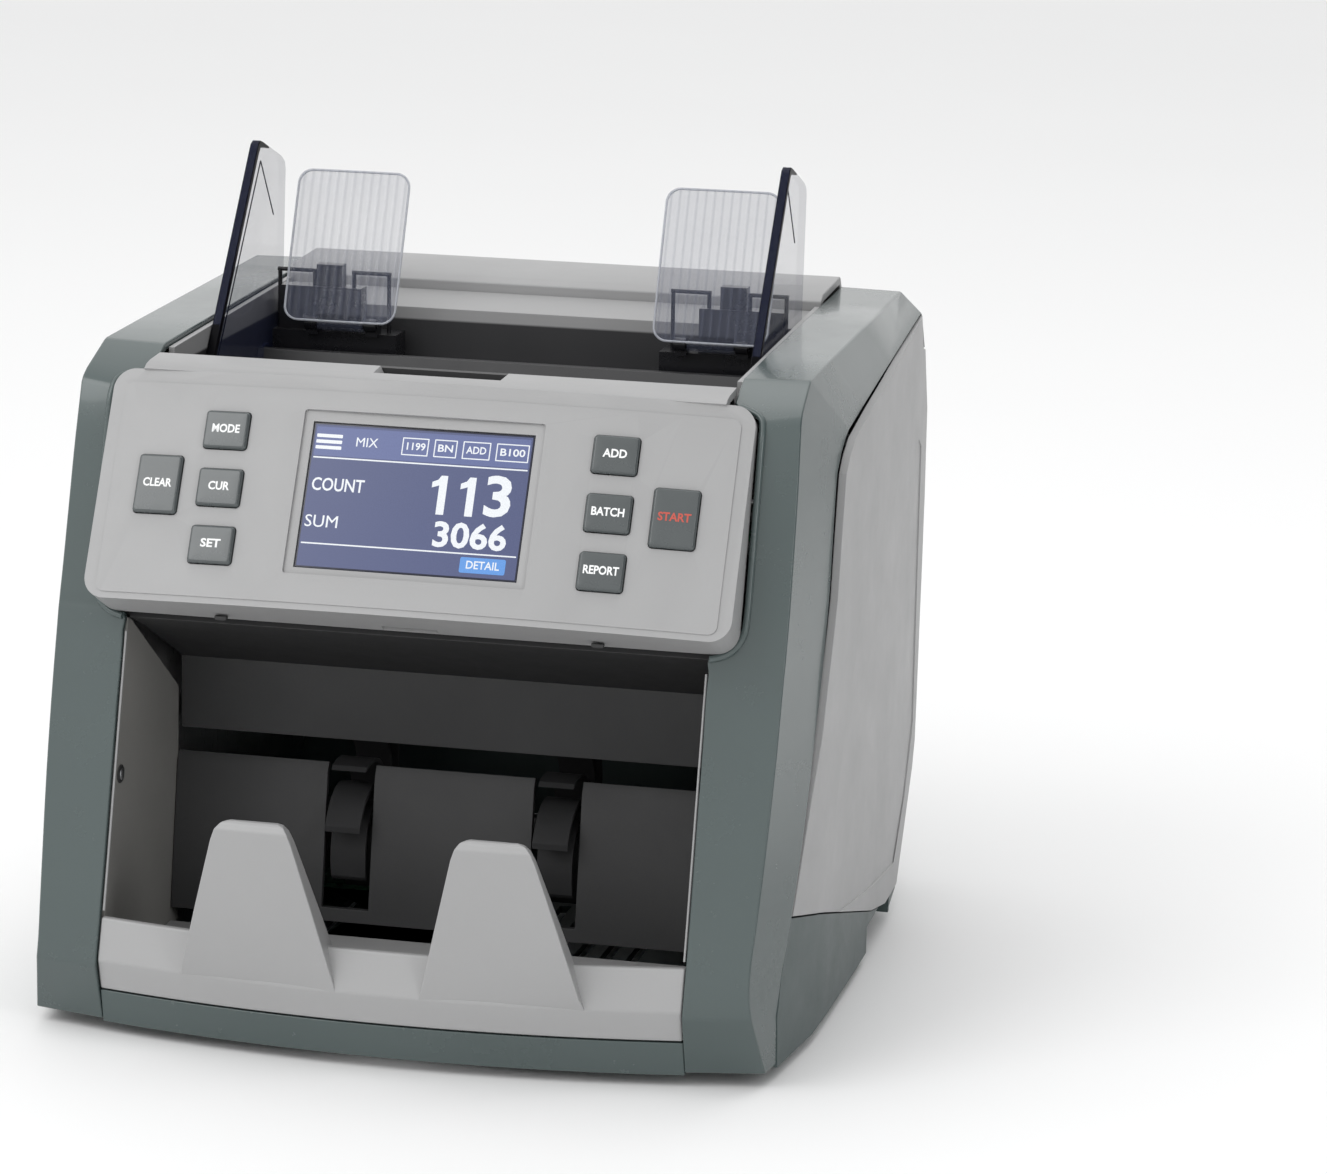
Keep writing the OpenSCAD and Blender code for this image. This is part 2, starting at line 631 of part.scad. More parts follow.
module pocket_back() color(dark) placed() difference() {
  along_x(-94.9, 94.9) polygon([[62, 22.6], [69.6, 70], [71.4, 73.4], [69.4, 74.4], [67.4, 71],
    [59.8, 22.6]]);
  for (s = [-1, 1])
    block([s * fan_x - fan_w / 2 - 2, 40, 27], [s * fan_x + fan_w / 2 + 2, 90, 80]);
}

module stacker_tray() color(light) placed() {
  intersection() {
    union() {
      // curved front wall
      translate([0, bar_cy, 0]) rotate_extrude($fn = 360)
        polygon([[458.5, 15.9], [461.2, 26], [457.3, 39], [454.8, 39], [458.4, 26],
          [456.6, 18.4], [450, 18.4], [450, 15.9]]);
      // floor
      block([-100, -11, 15.9], [100, 59, 18.4]);
    }
    block([-pocket_half + 0.1, -60, 0], [pocket_half - 0.1, 59, 60]);
  }
  // two note fingers leaning out to the front
  for (s = [-1, 1]) difference() {
    intersection() {
      along_y(-40, 10) polygon([[s * 13.4, 26.6], [s * 65.3, 26.6], [s * 51.8, 74],
        [s * 50.4, 77.6], [s * 47, 80.4], [s * 28.4, 80.4], [s * 25.6, 78]]);
      along_x(-80, 80) polygon([[-20.4, 26.6], [-29.5, 77], [-28.2, 79.6], [-23.4, 80.4],
        [-21.4, 78.6], [-8, 38], [-8, 26.6]]);
    }
    intersection() {
      along_y(-40, 10) polygon([[s * 16.6, 20], [s * 62, 20], [s * 48.4, 76.4],
        [s * 28.8, 76.4]]);
      along_x(-80, 80) polygon([[-17.4, 20], [-26.4, 76], [-20, 79], [0, 40], [0, 20]]);
    }
  }
}

// ---------- note path ----------

// outer guide: wraps the feed roller and runs on under the path
module outer_path_guide() color(dark) placed() {
  difference() {
    translate([0, feed_y, feed_z]) rotate([0, 90, 0]) rotate([0, 0, 0])
      difference() {
        translate([0, 0, -92]) cylinder(h = 184, r = feed_r + 4, $fn = 120);
        translate([0, 0, -93]) cylinder(h = 186, r = feed_r + 2, $fn = 120);
      }
    // keep only the rear and lower part of the ring
    along_x(-100, 100) polygon([[feed_y, feed_z], [feed_y + 60, feed_z + 28],
      [feed_y + 40, feed_z + 80], [feed_y - 80, feed_z + 80], [feed_y - 80, feed_z - 60],
      [feed_y + 0.44 * 60, feed_z - 0.9 * 60]]);
  }
  difference() {
    along_path(-92, 92, -4, -2, -0.6, 54);
    for (x = [-56, -18, 18, 56])
      along_path(x - 7, x + 7, -6, 0, nip_t - 9, nip_t + 9.1);
  }
}

// a bar that follows the straight run: x range, depth range off the path line, length range
module along_path(x0, x1, d0, d1, t0, t1)
  along_x(x0, x1) polygon([path_pt(t0, d0), path_pt(t1, d0), path_pt(t1, d1), path_pt(t0, d1)]);

// point on the run at distance t, depth d to the feed roller's side
function path_pt(t, d) =
  [exit_y + t * run_ey + d * run_ez, exit_z + t * run_ez - d * run_ey];

// the two image sensor bars that face each other across the path
module sensor_bars() color(rubber) placed() {
  along_path(-85.8, 85.8, 2, 13, 21, 36);
  along_path(-85.8, 85.8, -14.6, -4.1, 21, 36);
}

module retard_roller() color(amber) placed() {
  rod_x(-plate_in, plate_in, retard_y, retard_z, 3);
  for (s = [-1, 1]) rod_x(s * 22 - 7, s * 22 + 7, retard_y, retard_z, retard_r);
}

module feed_shaft() color(steel) placed() {
  rod_x(-belt_x - belt_w - 1, belt_x + belt_w + 1, feed_y, feed_z, 4);
  rod_x(belt_x, belt_x + belt_w, feed_y, feed_z, feed_pulley_r);
  rod_x(-belt_x - belt_w, -belt_x, feed_y, feed_z, pick_drive_r);
}
module feed_tyres() color(rubber) placed() for (s = [-1, 1]) difference() {
  rod_x(s * 22 - 8, s * 22 + 8, feed_y, feed_z, feed_r);
  rod_x(s * 22 - 9, s * 22 + 9, feed_y, feed_z, 4);
}
module pickup_shaft() color(steel) placed() {
  rod_x(-belt_x - belt_w - 1, plate_in + plate_t + 2, pick_y, pick_z, 3);
  rod_x(-belt_x - belt_w, -belt_x, pick_y, pick_z, pick_pulley_r);
}
module pickup_tyres() color(rubber) placed() for (s = [-1, 1]) difference() {
  rod_x(s * 22 - 7, s * 22 + 7, pick_y, pick_z, pickup_r);
  rod_x(s * 22 - 8, s * 22 + 8, pick_y, pick_z, 3);
}
module exit_roller() color(rubber) placed() {
  rod_x(-plate_in - plate_t - 2, plate_in + plate_t + 2, nip_y, nip_z, 3);
  for (x = [-56, -18, 18, 56]) rod_x(x - 6, x + 6, nip_y, nip_z, nip_r);
}

module stacker_shaft() color(steel) placed() {
  rod_x(-belt_x - belt_w - 1, plate_in + plate_t + 2, fan_y, fan_z, 3);
  rod_x(-belt_x - belt_w, -belt_x, fan_y, fan_z, fan_pulley_r);
}
module stacker_wheels() color(amber) placed() for (s = [-1, 1])
  translate([s * fan_x - fan_w / 2, fan_y, fan_z]) rotate([0, 90, 0]) linear_extrude(fan_w)
    difference() {
      union() {
        circle(r = 9, $fn = 64);
        // swept blades
        for (i = [0:7]) rotate(i * 45) polygon([for (k = [0:8])
            let (r = 6 + (fan_r - 6) * k / 8, a = k * 11) [r * cos(a), r * sin(a)],
          for (k = [8:-1:0])
            let (r = 6 + (fan_r - 6) * k / 8, a = k * 11 + 13 - k * 1.05)
              [r * cos(a), r * sin(a)]]);
      }
      circle(r = 3, $fn = 48);
    }

// ---------- motors, belts and electronics ----------

module belt(x0, y1, z1, r1, y2, z2, r2) difference() {
  hull() {
    rod_x(x0, x0 + belt_w - 0.6, y1, z1, r1 + belt_gap + belt_t);
    rod_x(x0, x0 + belt_w - 0.6, y2, z2, r2 + belt_gap + belt_t);
  }
  hull() {
    rod_x(x0 - 1, x0 + belt_w + 1, y1, z1, r1 + belt_gap);
    rod_x(x0 - 1, x0 + belt_w + 1, y2, z2, r2 + belt_gap);
  }
}
module drive_belt() color(rubber) placed()
  belt(belt_x + 0.3, feed_y, feed_z, feed_pulley_r, motor_y, motor_z, motor_pulley_r);
module pickup_belt() color(rubber) placed()
  belt(-belt_x - belt_w + 0.3, feed_y, feed_z, pick_drive_r, pick_y, pick_z, pick_pulley_r);
module stacker_belt() color(rubber) placed()
  belt(-belt_x - belt_w + 0.3, fan_y, fan_z, fan_pulley_r, fan_motor_y, fan_motor_z, fan_drive_r);

module main_motor() color(steel) placed() {
  rod_x(38, plate_in, motor_y, motor_z, motor_r);
  rod_x(34, 38, motor_y, motor_z, 9);
}
module main_pulley() color(steel) placed() {
  rod_x(plate_in + 0.4, belt_x + belt_w + 1, motor_y, motor_z, 2.5);
  rod_x(belt_x, belt_x + belt_w, motor_y, motor_z, motor_pulley_r);
}
module stacker_motor() color(steel) placed()
  rod_x(-plate_in, -58, fan_motor_y, fan_motor_z, fan_motor_r);
module stacker_pulley() color(steel) placed() {
  rod_x(-belt_x - belt_w - 1, -plate_in - 0.4, fan_motor_y, fan_motor_z, 1.5);
  rod_x(-belt_x - belt_w, -belt_x, fan_motor_y, fan_motor_z, fan_drive_r);
}

module main_board() color(board) placed() {
  block([-80, 214, 94], [70, 215.6, 180]);
  // tail of the board with the service port
  block([-76, 214, 66], [-44, 215.6, 94]);
  difference() {
    block([-72, 215.6, 66], [-50, 243, 80]);
    block([-70, 230, 68], [-62, 250, 78]);
    block([-60, 230, 69], [-52, 250, 73]);
  }
  for (p = [[-60, 150], [-20, 120], [30, 150], [40, 112]])
    block([p[0] - 10, 209, p[1] - 10], [p[0] + 10, 214, p[1] + 10]);
  block([-74, 207, 96], [-40, 214, 104]);
}
module power_supply() color(board) placed() {
  block([-80, 124, 14], [-6, 190, 15.6]);
  block([-60, 142, 15.6], [-30, 170, 42]);
  for (x = [-20, -12]) translate([x, 176, 15.6]) cylinder(h = 22, r = 5, $fn = 48);
  for (x = [-76, -10]) for (y = [128, 182]) translate([x, y, 6.5]) cylinder(h = 7.5, r = 2.5,
    $fn = 24);
}

// three-pin inlet with the switch housing beside it
module power_inlet() color(dark) placed() {
  difference() {
    block([52, 212, 64], [80, 244.6, 90]);
    block([56, 222, 68], [76, 250, 82]);
  }
  for (x = [61, 71]) block([x - 0.6, 218, 74], [x + 0.6, 238, 77]);
  block([65.4, 218, 69.4], [66.6, 239, 72.4]);
  difference() {
    union() {
      block([84, 224, 67], [94, 243.2, 85]);
      block([80, 224, 67], [84, 236, 85]);
    }
    block([84.6, 229, 68.6], [93.4, 250, 83.4]);
  }
  // rocker pin
  rod_x(84, 94, 238, 76, 1);
}

module power_rocker() color(dark) placed() translate([0, 238, 76]) rotate([-7, 0, 0])
  difference() {
    along_x(85, 93) polygon([[-3, -3], [5, -6.4], [6.4, -6.2], [6, 0], [6.4, 6.2], [5, 6.4],
      [-3, 3]]);
    rod_x(80, 96, 0, 0, 1 + run_gap);
  }

module feet() color(rubber) placed() for (s = [-1, 1]) for (p = [[80, 12], [84, 176]])
  translate([s * p[0], p[1], 0]) {
    cylinder(h = 1.2, r = 9, $fn = 64);
    translate([0, 0, 1.2]) cylinder(h = foot_h - 1.2, r = 8, $fn = 64);
  }

base_pan();
front_bar();
frame_left();
frame_right();
side_cover_left();
side_cover_right();
top_cover();
hopper_floor();
hopper_rear_wall();
control_panel();
lcd_window();
lcd_module();
key_board();
chassis_left();
chassis_right();
tie_rods();
pocket_back();
pocket_wall_left();
pocket_wall_right();
pocket_roof();
stacker_tray();
sensor_bars();
outer_path_guide();
retard_roller();
main_motor();
stacker_motor();
drive_belt();
pickup_belt();
stacker_belt();
main_board();
power_supply();
power_inlet();
feet();
rear_panel();
plate_holder_left();
plate_holder_right();
feed_shaft();
feed_tyres();
pickup_shaft();
pickup_tyres();
exit_roller();
stacker_shaft();
stacker_wheels();
main_pulley();
stacker_pulley();
guide_left();
guide_right();
guide_pinion();
note_plate_left();
note_plate_right();
key_mode();
key_cur();
key_set();
key_clear();
key_add();
key_batch();
key_report();
key_start();
rear_cover();
power_rocker();
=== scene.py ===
"""Desktop banknote counter: looks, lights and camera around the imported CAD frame.

Shapes are given in millimetres and scaled by MM; the scene itself is in metres.
"""
import json
import math
import random

import bmesh
import bpy
from mathutils import Matrix, Vector

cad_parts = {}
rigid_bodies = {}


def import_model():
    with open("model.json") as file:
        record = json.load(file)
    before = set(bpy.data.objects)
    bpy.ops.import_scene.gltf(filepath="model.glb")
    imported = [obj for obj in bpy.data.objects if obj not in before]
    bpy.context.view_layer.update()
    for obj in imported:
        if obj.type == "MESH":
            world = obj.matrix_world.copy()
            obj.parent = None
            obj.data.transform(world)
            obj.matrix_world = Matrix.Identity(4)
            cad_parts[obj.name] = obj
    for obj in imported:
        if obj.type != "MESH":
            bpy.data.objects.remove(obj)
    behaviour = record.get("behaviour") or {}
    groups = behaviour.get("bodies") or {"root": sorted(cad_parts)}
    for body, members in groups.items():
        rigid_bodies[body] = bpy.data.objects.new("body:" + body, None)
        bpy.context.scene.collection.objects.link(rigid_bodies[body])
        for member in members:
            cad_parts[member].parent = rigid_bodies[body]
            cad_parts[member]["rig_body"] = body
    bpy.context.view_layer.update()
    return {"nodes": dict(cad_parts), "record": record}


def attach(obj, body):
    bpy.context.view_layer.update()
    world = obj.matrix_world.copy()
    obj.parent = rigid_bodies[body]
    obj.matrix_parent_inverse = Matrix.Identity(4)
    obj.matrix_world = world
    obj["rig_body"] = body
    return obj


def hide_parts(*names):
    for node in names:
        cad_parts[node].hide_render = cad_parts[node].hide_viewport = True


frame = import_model()
NODES = frame["nodes"]
SLOT_OF = {s["node"]: s["material_slot"] for s in frame["record"]["subparts"]}
MM = 0.001
random.seed(7)

SIDES = (("left", -1), ("right", 1))

# ---------- driving dimensions, in mm and degrees ----------
SHIFT_Y = -108.75        # from the machine's front corners to the row frame's origin
PANEL_TILT = 27.4        # slope of the control panel back from vertical
PANEL_FOOT = (0.0, 0.8, 141.5)
PANEL_R = 1400.0         # outward curve of the panel
PANEL_CROWN = 2          # height of that curve over the panel's plane
LCD_MID = 37.5           # middle of the display up the panel
LCD_OUT = 0.42           # height of the display's picture over the panel's plane
LCD_W, LCD_H = 72.0, 47.6
KEYS = {  # name: (across, up the slope, width, height, legend)
    "mode": (-63.8, 56.3, 14.4, 12.2, "MODE"), "cur": (-63.4, 37.5, 14.4, 12.2, "CUR"),
    "set": (-63.3, 18.8, 14.4, 12.2, "SET"), "clear": (-84.0, 37.6, 14.4, 19.0, "CLEAR"),
    "add": (62.2, 56.3, 14.4, 12.2, "ADD"), "batch": (62.2, 37.5, 14.4, 12.2, "BATCH"),
    "report": (62.3, 18.8, 14.4, 12.2, "REPORT"), "start": (83.0, 37.5, 14.4, 19.0, "START"),
}
LEGEND_WIDTH = {"MODE": 9.2, "CUR": 7.0, "SET": 6.6, "CLEAR": 9.6, "ADD": 7.6, "BATCH": 10.4,
                "REPORT": 11.2, "START": 10.4}


def at(x, y, z):
    """A point given in the machine frame in mm, as a row-frame vector in metres."""
    return Vector((x * MM, (y + SHIFT_Y) * MM, z * MM))


# ---------- node materials ----------
def add(nt, kind, **inputs):
    """A new node, with input sockets and plain properties set by name."""
    node = nt.nodes.new(kind)
    for key, value in inputs.items():
        if key in node.inputs:
            node.inputs[key].default_value = value
        else:
            setattr(node, key, value)
    return node


def object_coord(nt):
    return add(nt, "ShaderNodeTexCoord").outputs["Object"]


def tree_of(name):
    """A new material with its node tree, its shader and its object coordinates."""
    mat = bpy.data.materials.new(name)
    mat.use_nodes = True
    nt = mat.node_tree
    return mat, nt, nt.nodes["Principled BSDF"], object_coord(nt)


def noise(nt, coord, scale, detail=3.0, rough=0.55, stretch=None):
    source = coord
    if stretch:
        mapping = add(nt, "ShaderNodeMapping")
        mapping.inputs["Scale"].default_value = stretch
        nt.links.new(coord, mapping.inputs["Vector"])
        source = mapping.outputs["Vector"]
    node = add(nt, "ShaderNodeTexNoise", Scale=scale, Detail=detail, Roughness=rough)
    nt.links.new(source, node.inputs["Vector"])
    return node.outputs["Fac"]


def ramp(nt, fac, low, high, a, b):
    """fac from low to high turns into the value or colour a to b."""
    node = nt.nodes.new("ShaderNodeMapRange")
    node.inputs["From Min"].default_value = low
    node.inputs["From Max"].default_value = high
    node.inputs["To Min"].default_value = a
    node.inputs["To Max"].default_value = b
    nt.links.new(fac, node.inputs["Value"])
    return node.outputs["Result"]


def mix_color(nt, fac, a, b):
    node = nt.nodes.new("ShaderNodeMix")
    node.data_type = "RGBA"
    for socket, value in ((node.inputs[6], a), (node.inputs[7], b)):
        if isinstance(value, bpy.types.NodeSocket):
            nt.links.new(value, socket)
        else:
            socket.default_value = (*value, 1.0)
    nt.links.new(fac, node.inputs[0])
    return node.outputs[2]


def maths(nt, operation, *values):
    """A math node on sockets and plain numbers."""
    node = add(nt, "ShaderNodeMath", operation=operation)
    for socket, value in zip(node.inputs, values):
        if isinstance(value, bpy.types.NodeSocket):
            nt.links.new(value, socket)
        else:
            socket.default_value = value
    return node.outputs[0]


def split_xyz(nt, coord):
    node = add(nt, "ShaderNodeSeparateXYZ")
    nt.links.new(coord, node.inputs[0])
    return node.outputs


def relief(nt, bsdf, height, strength, depth):
    """Bump on the shader from a height, its depth in metres."""
    node = add(nt, "ShaderNodeBump", Strength=strength, Distance=depth)
    nt.links.new(height, node.inputs["Height"])
    nt.links.new(node.outputs["Normal"], bsdf.inputs["Normal"])


def base_of(mat):
    """Tree, shader and present source of the base colour of a finished material."""
    bsdf = mat.node_tree.nodes["Principled BSDF"]
    return mat.node_tree, bsdf, bsdf.inputs["Base Color"].links[0].from_socket


def shade(color, k):
    return tuple(min(1.0, c * k) for c in color)


def plastic(name, color, rough, grain=1400.0, bump=0.05, vary=0.05, ior=1.5, swing=0.05,
            wear_and_highlight=0.12, coat=0.0):
    """Injection-moulded plastic: fine grain, faint blotches in tone and gloss, paler edges: worn,
    and where strong (as on the keys) a painted highlight.
    """
    mat, nt, bsdf, coord = tree_of(name)
    cloud = noise(nt, coord, 14.0, 4.0)
    fine = noise(nt, coord, grain, 2.0, 0.6)
    tone = mix_color(nt, ramp(nt, cloud, 0.3, 0.7, 0.0, 1.0), shade(color, 1 - vary),
                     shade(color, 1 + vary))
    speck = mix_color(nt, ramp(nt, fine, 0.35, 0.75, 0.0, 0.35), tone, shade(color, 1 - 2 * vary))
    # pale edges from pointiness: worn, and where strong (as on the keys) a painted highlight
    geo = add(nt, "ShaderNodeNewGeometry")
    edge = ramp(nt, geo.outputs["Pointiness"], 0.53, 0.60, 0.0, wear_and_highlight)
    nt.links.new(mix_color(nt, edge, speck, shade(color, 1.8)), bsdf.inputs["Base Color"])
    scuff = noise(nt, coord, 45.0, 5.0, 0.7)
    nt.links.new(ramp(nt, scuff, 0.3, 0.7, rough - swing, rough + swing), bsdf.inputs["Roughness"])
    relief(nt, bsdf, fine, bump * 4, 0.00004)
    bsdf.inputs["IOR"].default_value = ior
    bsdf.inputs["Coat Weight"].default_value = coat
    bsdf.inputs["Coat Roughness"].default_value = 0.08
    return mat


ROLLER_MID = 0.022                # middle of each roller from the middle of the shaft, in m
ROLLER_EDGE = (0.00705, 0.0071)   # half width of a roller, where its rubber fades into steel


def two_rollers(name, amber, shaft):
    """Amber rubber rollers on a bright steel shaft, split by the distance from their middles."""
    mat = rubber(name, amber, 0.45)
    nt, bsdf, source = base_of(mat)
    side = maths(nt, "ABSOLUTE", split_xyz(nt, object_coord(nt))["X"])
    far = maths(nt, "ABSOLUTE", maths(nt, "SUBTRACT", side, ROLLER_MID))
    bare = ramp(nt, far, *ROLLER_EDGE, 0.0, 1.0)
    nt.links.new(mix_color(nt, bare, source, shaft), bsdf.inputs["Base Color"])
    nt.links.new(bare, bsdf.inputs["Metallic"])
    return mat


def layered(name, high, low, rough, level, blend=0.0004):
    """Moulding, darker below a level, in metres, with the plain one's grain and worn edges."""
    mat = plastic(name, high, rough, grain=1500, bump=0.06, vary=0.02, wear_and_highlight=0.05)
    nt, bsdf, source = base_of(mat)
    height = split_xyz(nt, object_coord(nt))["Z"]
    above = ramp(nt, height, level - blend, level + blend, 0.0, 1.0)
    nt.links.new(mix_color(nt, above, low, source), bsdf.inputs["Base Color"])
    return mat


def metal(name, color, rough, stretch, scale=90.0, bump=0.1):
    """Turned or rolled metal: streaks along one axis in tone, gloss and relief."""
    mat, nt, bsdf, coord = tree_of(name)
    streak = noise(nt, coord, scale, 4.0, 0.6, stretch)
    stain = noise(nt, coord, 22.0, 3.0)
    tone = mix_color(nt, ramp(nt, streak, 0.3, 0.7, 0.0, 1.0), shade(color, 0.86),
                     shade(color, 1.1))
    nt.links.new(mix_color(nt, ramp(nt, stain, 0.45, 0.8, 0.0, 0.4), tone, shade(color, 0.72)),
                 bsdf.inputs["Base Color"])
    nt.links.new(ramp(nt, streak, 0.25, 0.75, rough - 0.1, rough + 0.12), bsdf.inputs["Roughness"])
    bsdf.inputs["Metallic"].default_value = 1.0
    relief(nt, bsdf, streak, bump, 0.00008)
    return mat


def rubber(name, color, rough=0.75):
    """Moulded rubber: matte, with blotches of dust and a fine pebbled relief."""
    mat, nt, bsdf, coord = tree_of(name)
    pebble = noise(nt, coord, 2200.0, 2.0, 0.6)
    dust = noise(nt, coord, 35.0, 5.0, 0.65)
    tone = mix_color(nt, ramp(nt, dust, 0.45, 0.8, 0.0, 0.5), color, shade(color, 2.2))
    nt.links.new(tone, bsdf.inputs["Base Color"])
    nt.links.new(ramp(nt, dust, 0.3, 0.8, rough - 0.1, rough + 0.1), bsdf.inputs["Roughness"])
    relief(nt, bsdf, pebble, 0.35, 0.00006)
    return mat


def board(name, blend=0.0001):
    """Solder-masked circuit board: paler lines of track, small pads, and the parts on it."""
    mat, nt, bsdf, coord = tree_of(name)
    track = add(nt, "ShaderNodeTexVoronoi", Scale=260.0)
    track.distance = "MANHATTAN"
    track.feature = "F1"
    nt.links.new(coord, track.inputs["Vector"])
    lines = ramp(nt, track.outputs["Distance"], 0.42, 0.5, 0.0, 1.0)
    pads = ramp(nt, track.outputs["Distance"], 0.10, 0.06, 0.0, 1.0)
    cloud = noise(nt, coord, 40.0)
    green = mix_color(nt, cloud, (0.010, 0.060, 0.028), (0.016, 0.085, 0.040))
    tracked = mix_color(nt, lines, green, (0.035, 0.16, 0.075))
    axes = split_xyz(nt, coord)

    def band(axis, low, high):
        """1 between two levels of an axis, in metres, and 0 elsewhere."""
        return maths(nt, "MULTIPLY", ramp(nt, axes[axis], low, low + blend, 0.0, 1.0),
                     ramp(nt, axes[axis], high, high + blend, 1.0, 0.0))

    front_parts = maths(nt, "MULTIPLY", band("Y", 0.0950, 0.1051), band("Z", 0.0600, 0.3000))
    supply_parts = band("Z", 0.0157, 0.0600)
    port_shell = band("Y", 0.1070, 0.3000)
    face = tracked
    for mask, color in ((pads, (0.55, 0.50, 0.38)), (front_parts, (0.020, 0.020, 0.022)),
                        (supply_parts, (0.030, 0.028, 0.030)), (port_shell, (0.42, 0.42, 0.43))):
        face = mix_color(nt, mask, face, color)
    nt.links.new(face, bsdf.inputs["Base Color"])
    nt.links.new(ramp(nt, cloud, 0.2, 0.8, 0.25, 0.42), bsdf.inputs["Roughness"])
    relief(nt, bsdf, lines, 0.4, 0.00005)
    return mat


def acrylic(name, color, alpha, rough=0.06, ribs=0.0):
    """Clear or smoky sheet: glossy, with handling haze and, if asked, fine upright ribs."""
    mat, nt, bsdf, coord = tree_of(name)
    haze = noise(nt, coord, 30.0, 5.0, 0.65)
    hair = noise(nt, coord, 420.0, 3.0, 0.6, (1.0, 1.0, 0.12))
    nt.links.new(mix_color(nt, haze, shade(color, 0.9), shade(color, 1.15)),
                 bsdf.inputs["Base Color"])
    nt.links.new(ramp(nt, haze, 0.3, 0.8, rough - 0.03, rough + 0.08), bsdf.inputs["Roughness"])
    height = hair
    veil = ramp(nt, haze, 0.3, 0.8, alpha - 0.02, alpha + 0.03)
    if ribs:
        wave = add(nt, "ShaderNodeTexWave", Scale=105.0, Distortion=0.0)
        wave.wave_type = "BANDS"
        wave.bands_direction = "X"
        nt.links.new(coord, wave.inputs["Vector"])
        height = wave.outputs["Fac"]
        veil = maths(nt, "ADD", veil, ramp(nt, height, 0.75, 1.0, 0.0, 0.10 * ribs))
    nt.links.new(veil, bsdf.inputs["Alpha"])
    relief(nt, bsdf, height, 0.06 + 0.3 * ribs, 0.00004 + 0.0001 * ribs)
    bsdf.inputs["IOR"].default_value = 1.49
    return mat


def glow(name, color, strength, rough=0.2):
    """Lit part of the display, with the faint pixel grid of the panel behind the glass."""
    mat, nt, bsdf, coord = tree_of(name)
    grid = noise(nt, coord, 3200.0, 1.0, 0.4)
    sweep = noise(nt, coord, 9.0, 1.0, 0.4)
    lit = mix_color(nt, ramp(nt, grid, 0.3, 0.7, 0.0, 1.0), shade(color, 0.9), shade(color, 1.08))
    nt.links.new(mix_color(nt, ramp(nt, sweep, 0.3, 0.7, 0.0, 0.3), lit, shade(color, 1.25)),
                 bsdf.inputs["Emission Color"])
    bsdf.inputs["Emission Strength"].default_value = strength
    nt.links.new(ramp(nt, grid, 0.3, 0.7, rough - 0.04, rough + 0.04), bsdf.inputs["Roughness"])
    bsdf.inputs["Base Color"].default_value = (0.004, 0.004, 0.008, 1.0)
    return mat


def ink(name, color, rough=0.45):
    """Printed legend ink, slightly uneven."""
    mat, nt, bsdf, coord = tree_of(name)
    patch = noise(nt, coord, 900.0, 3.0, 0.6)
    nt.links.new(mix_color(nt, patch, shade(color, 0.88), shade(color, 1.06)),
                 bsdf.inputs["Base Color"])
    nt.links.new(ramp(nt, patch, 0.3, 0.7, rough - 0.08, rough + 0.08), bsdf.inputs["Roughness"])
    return mat


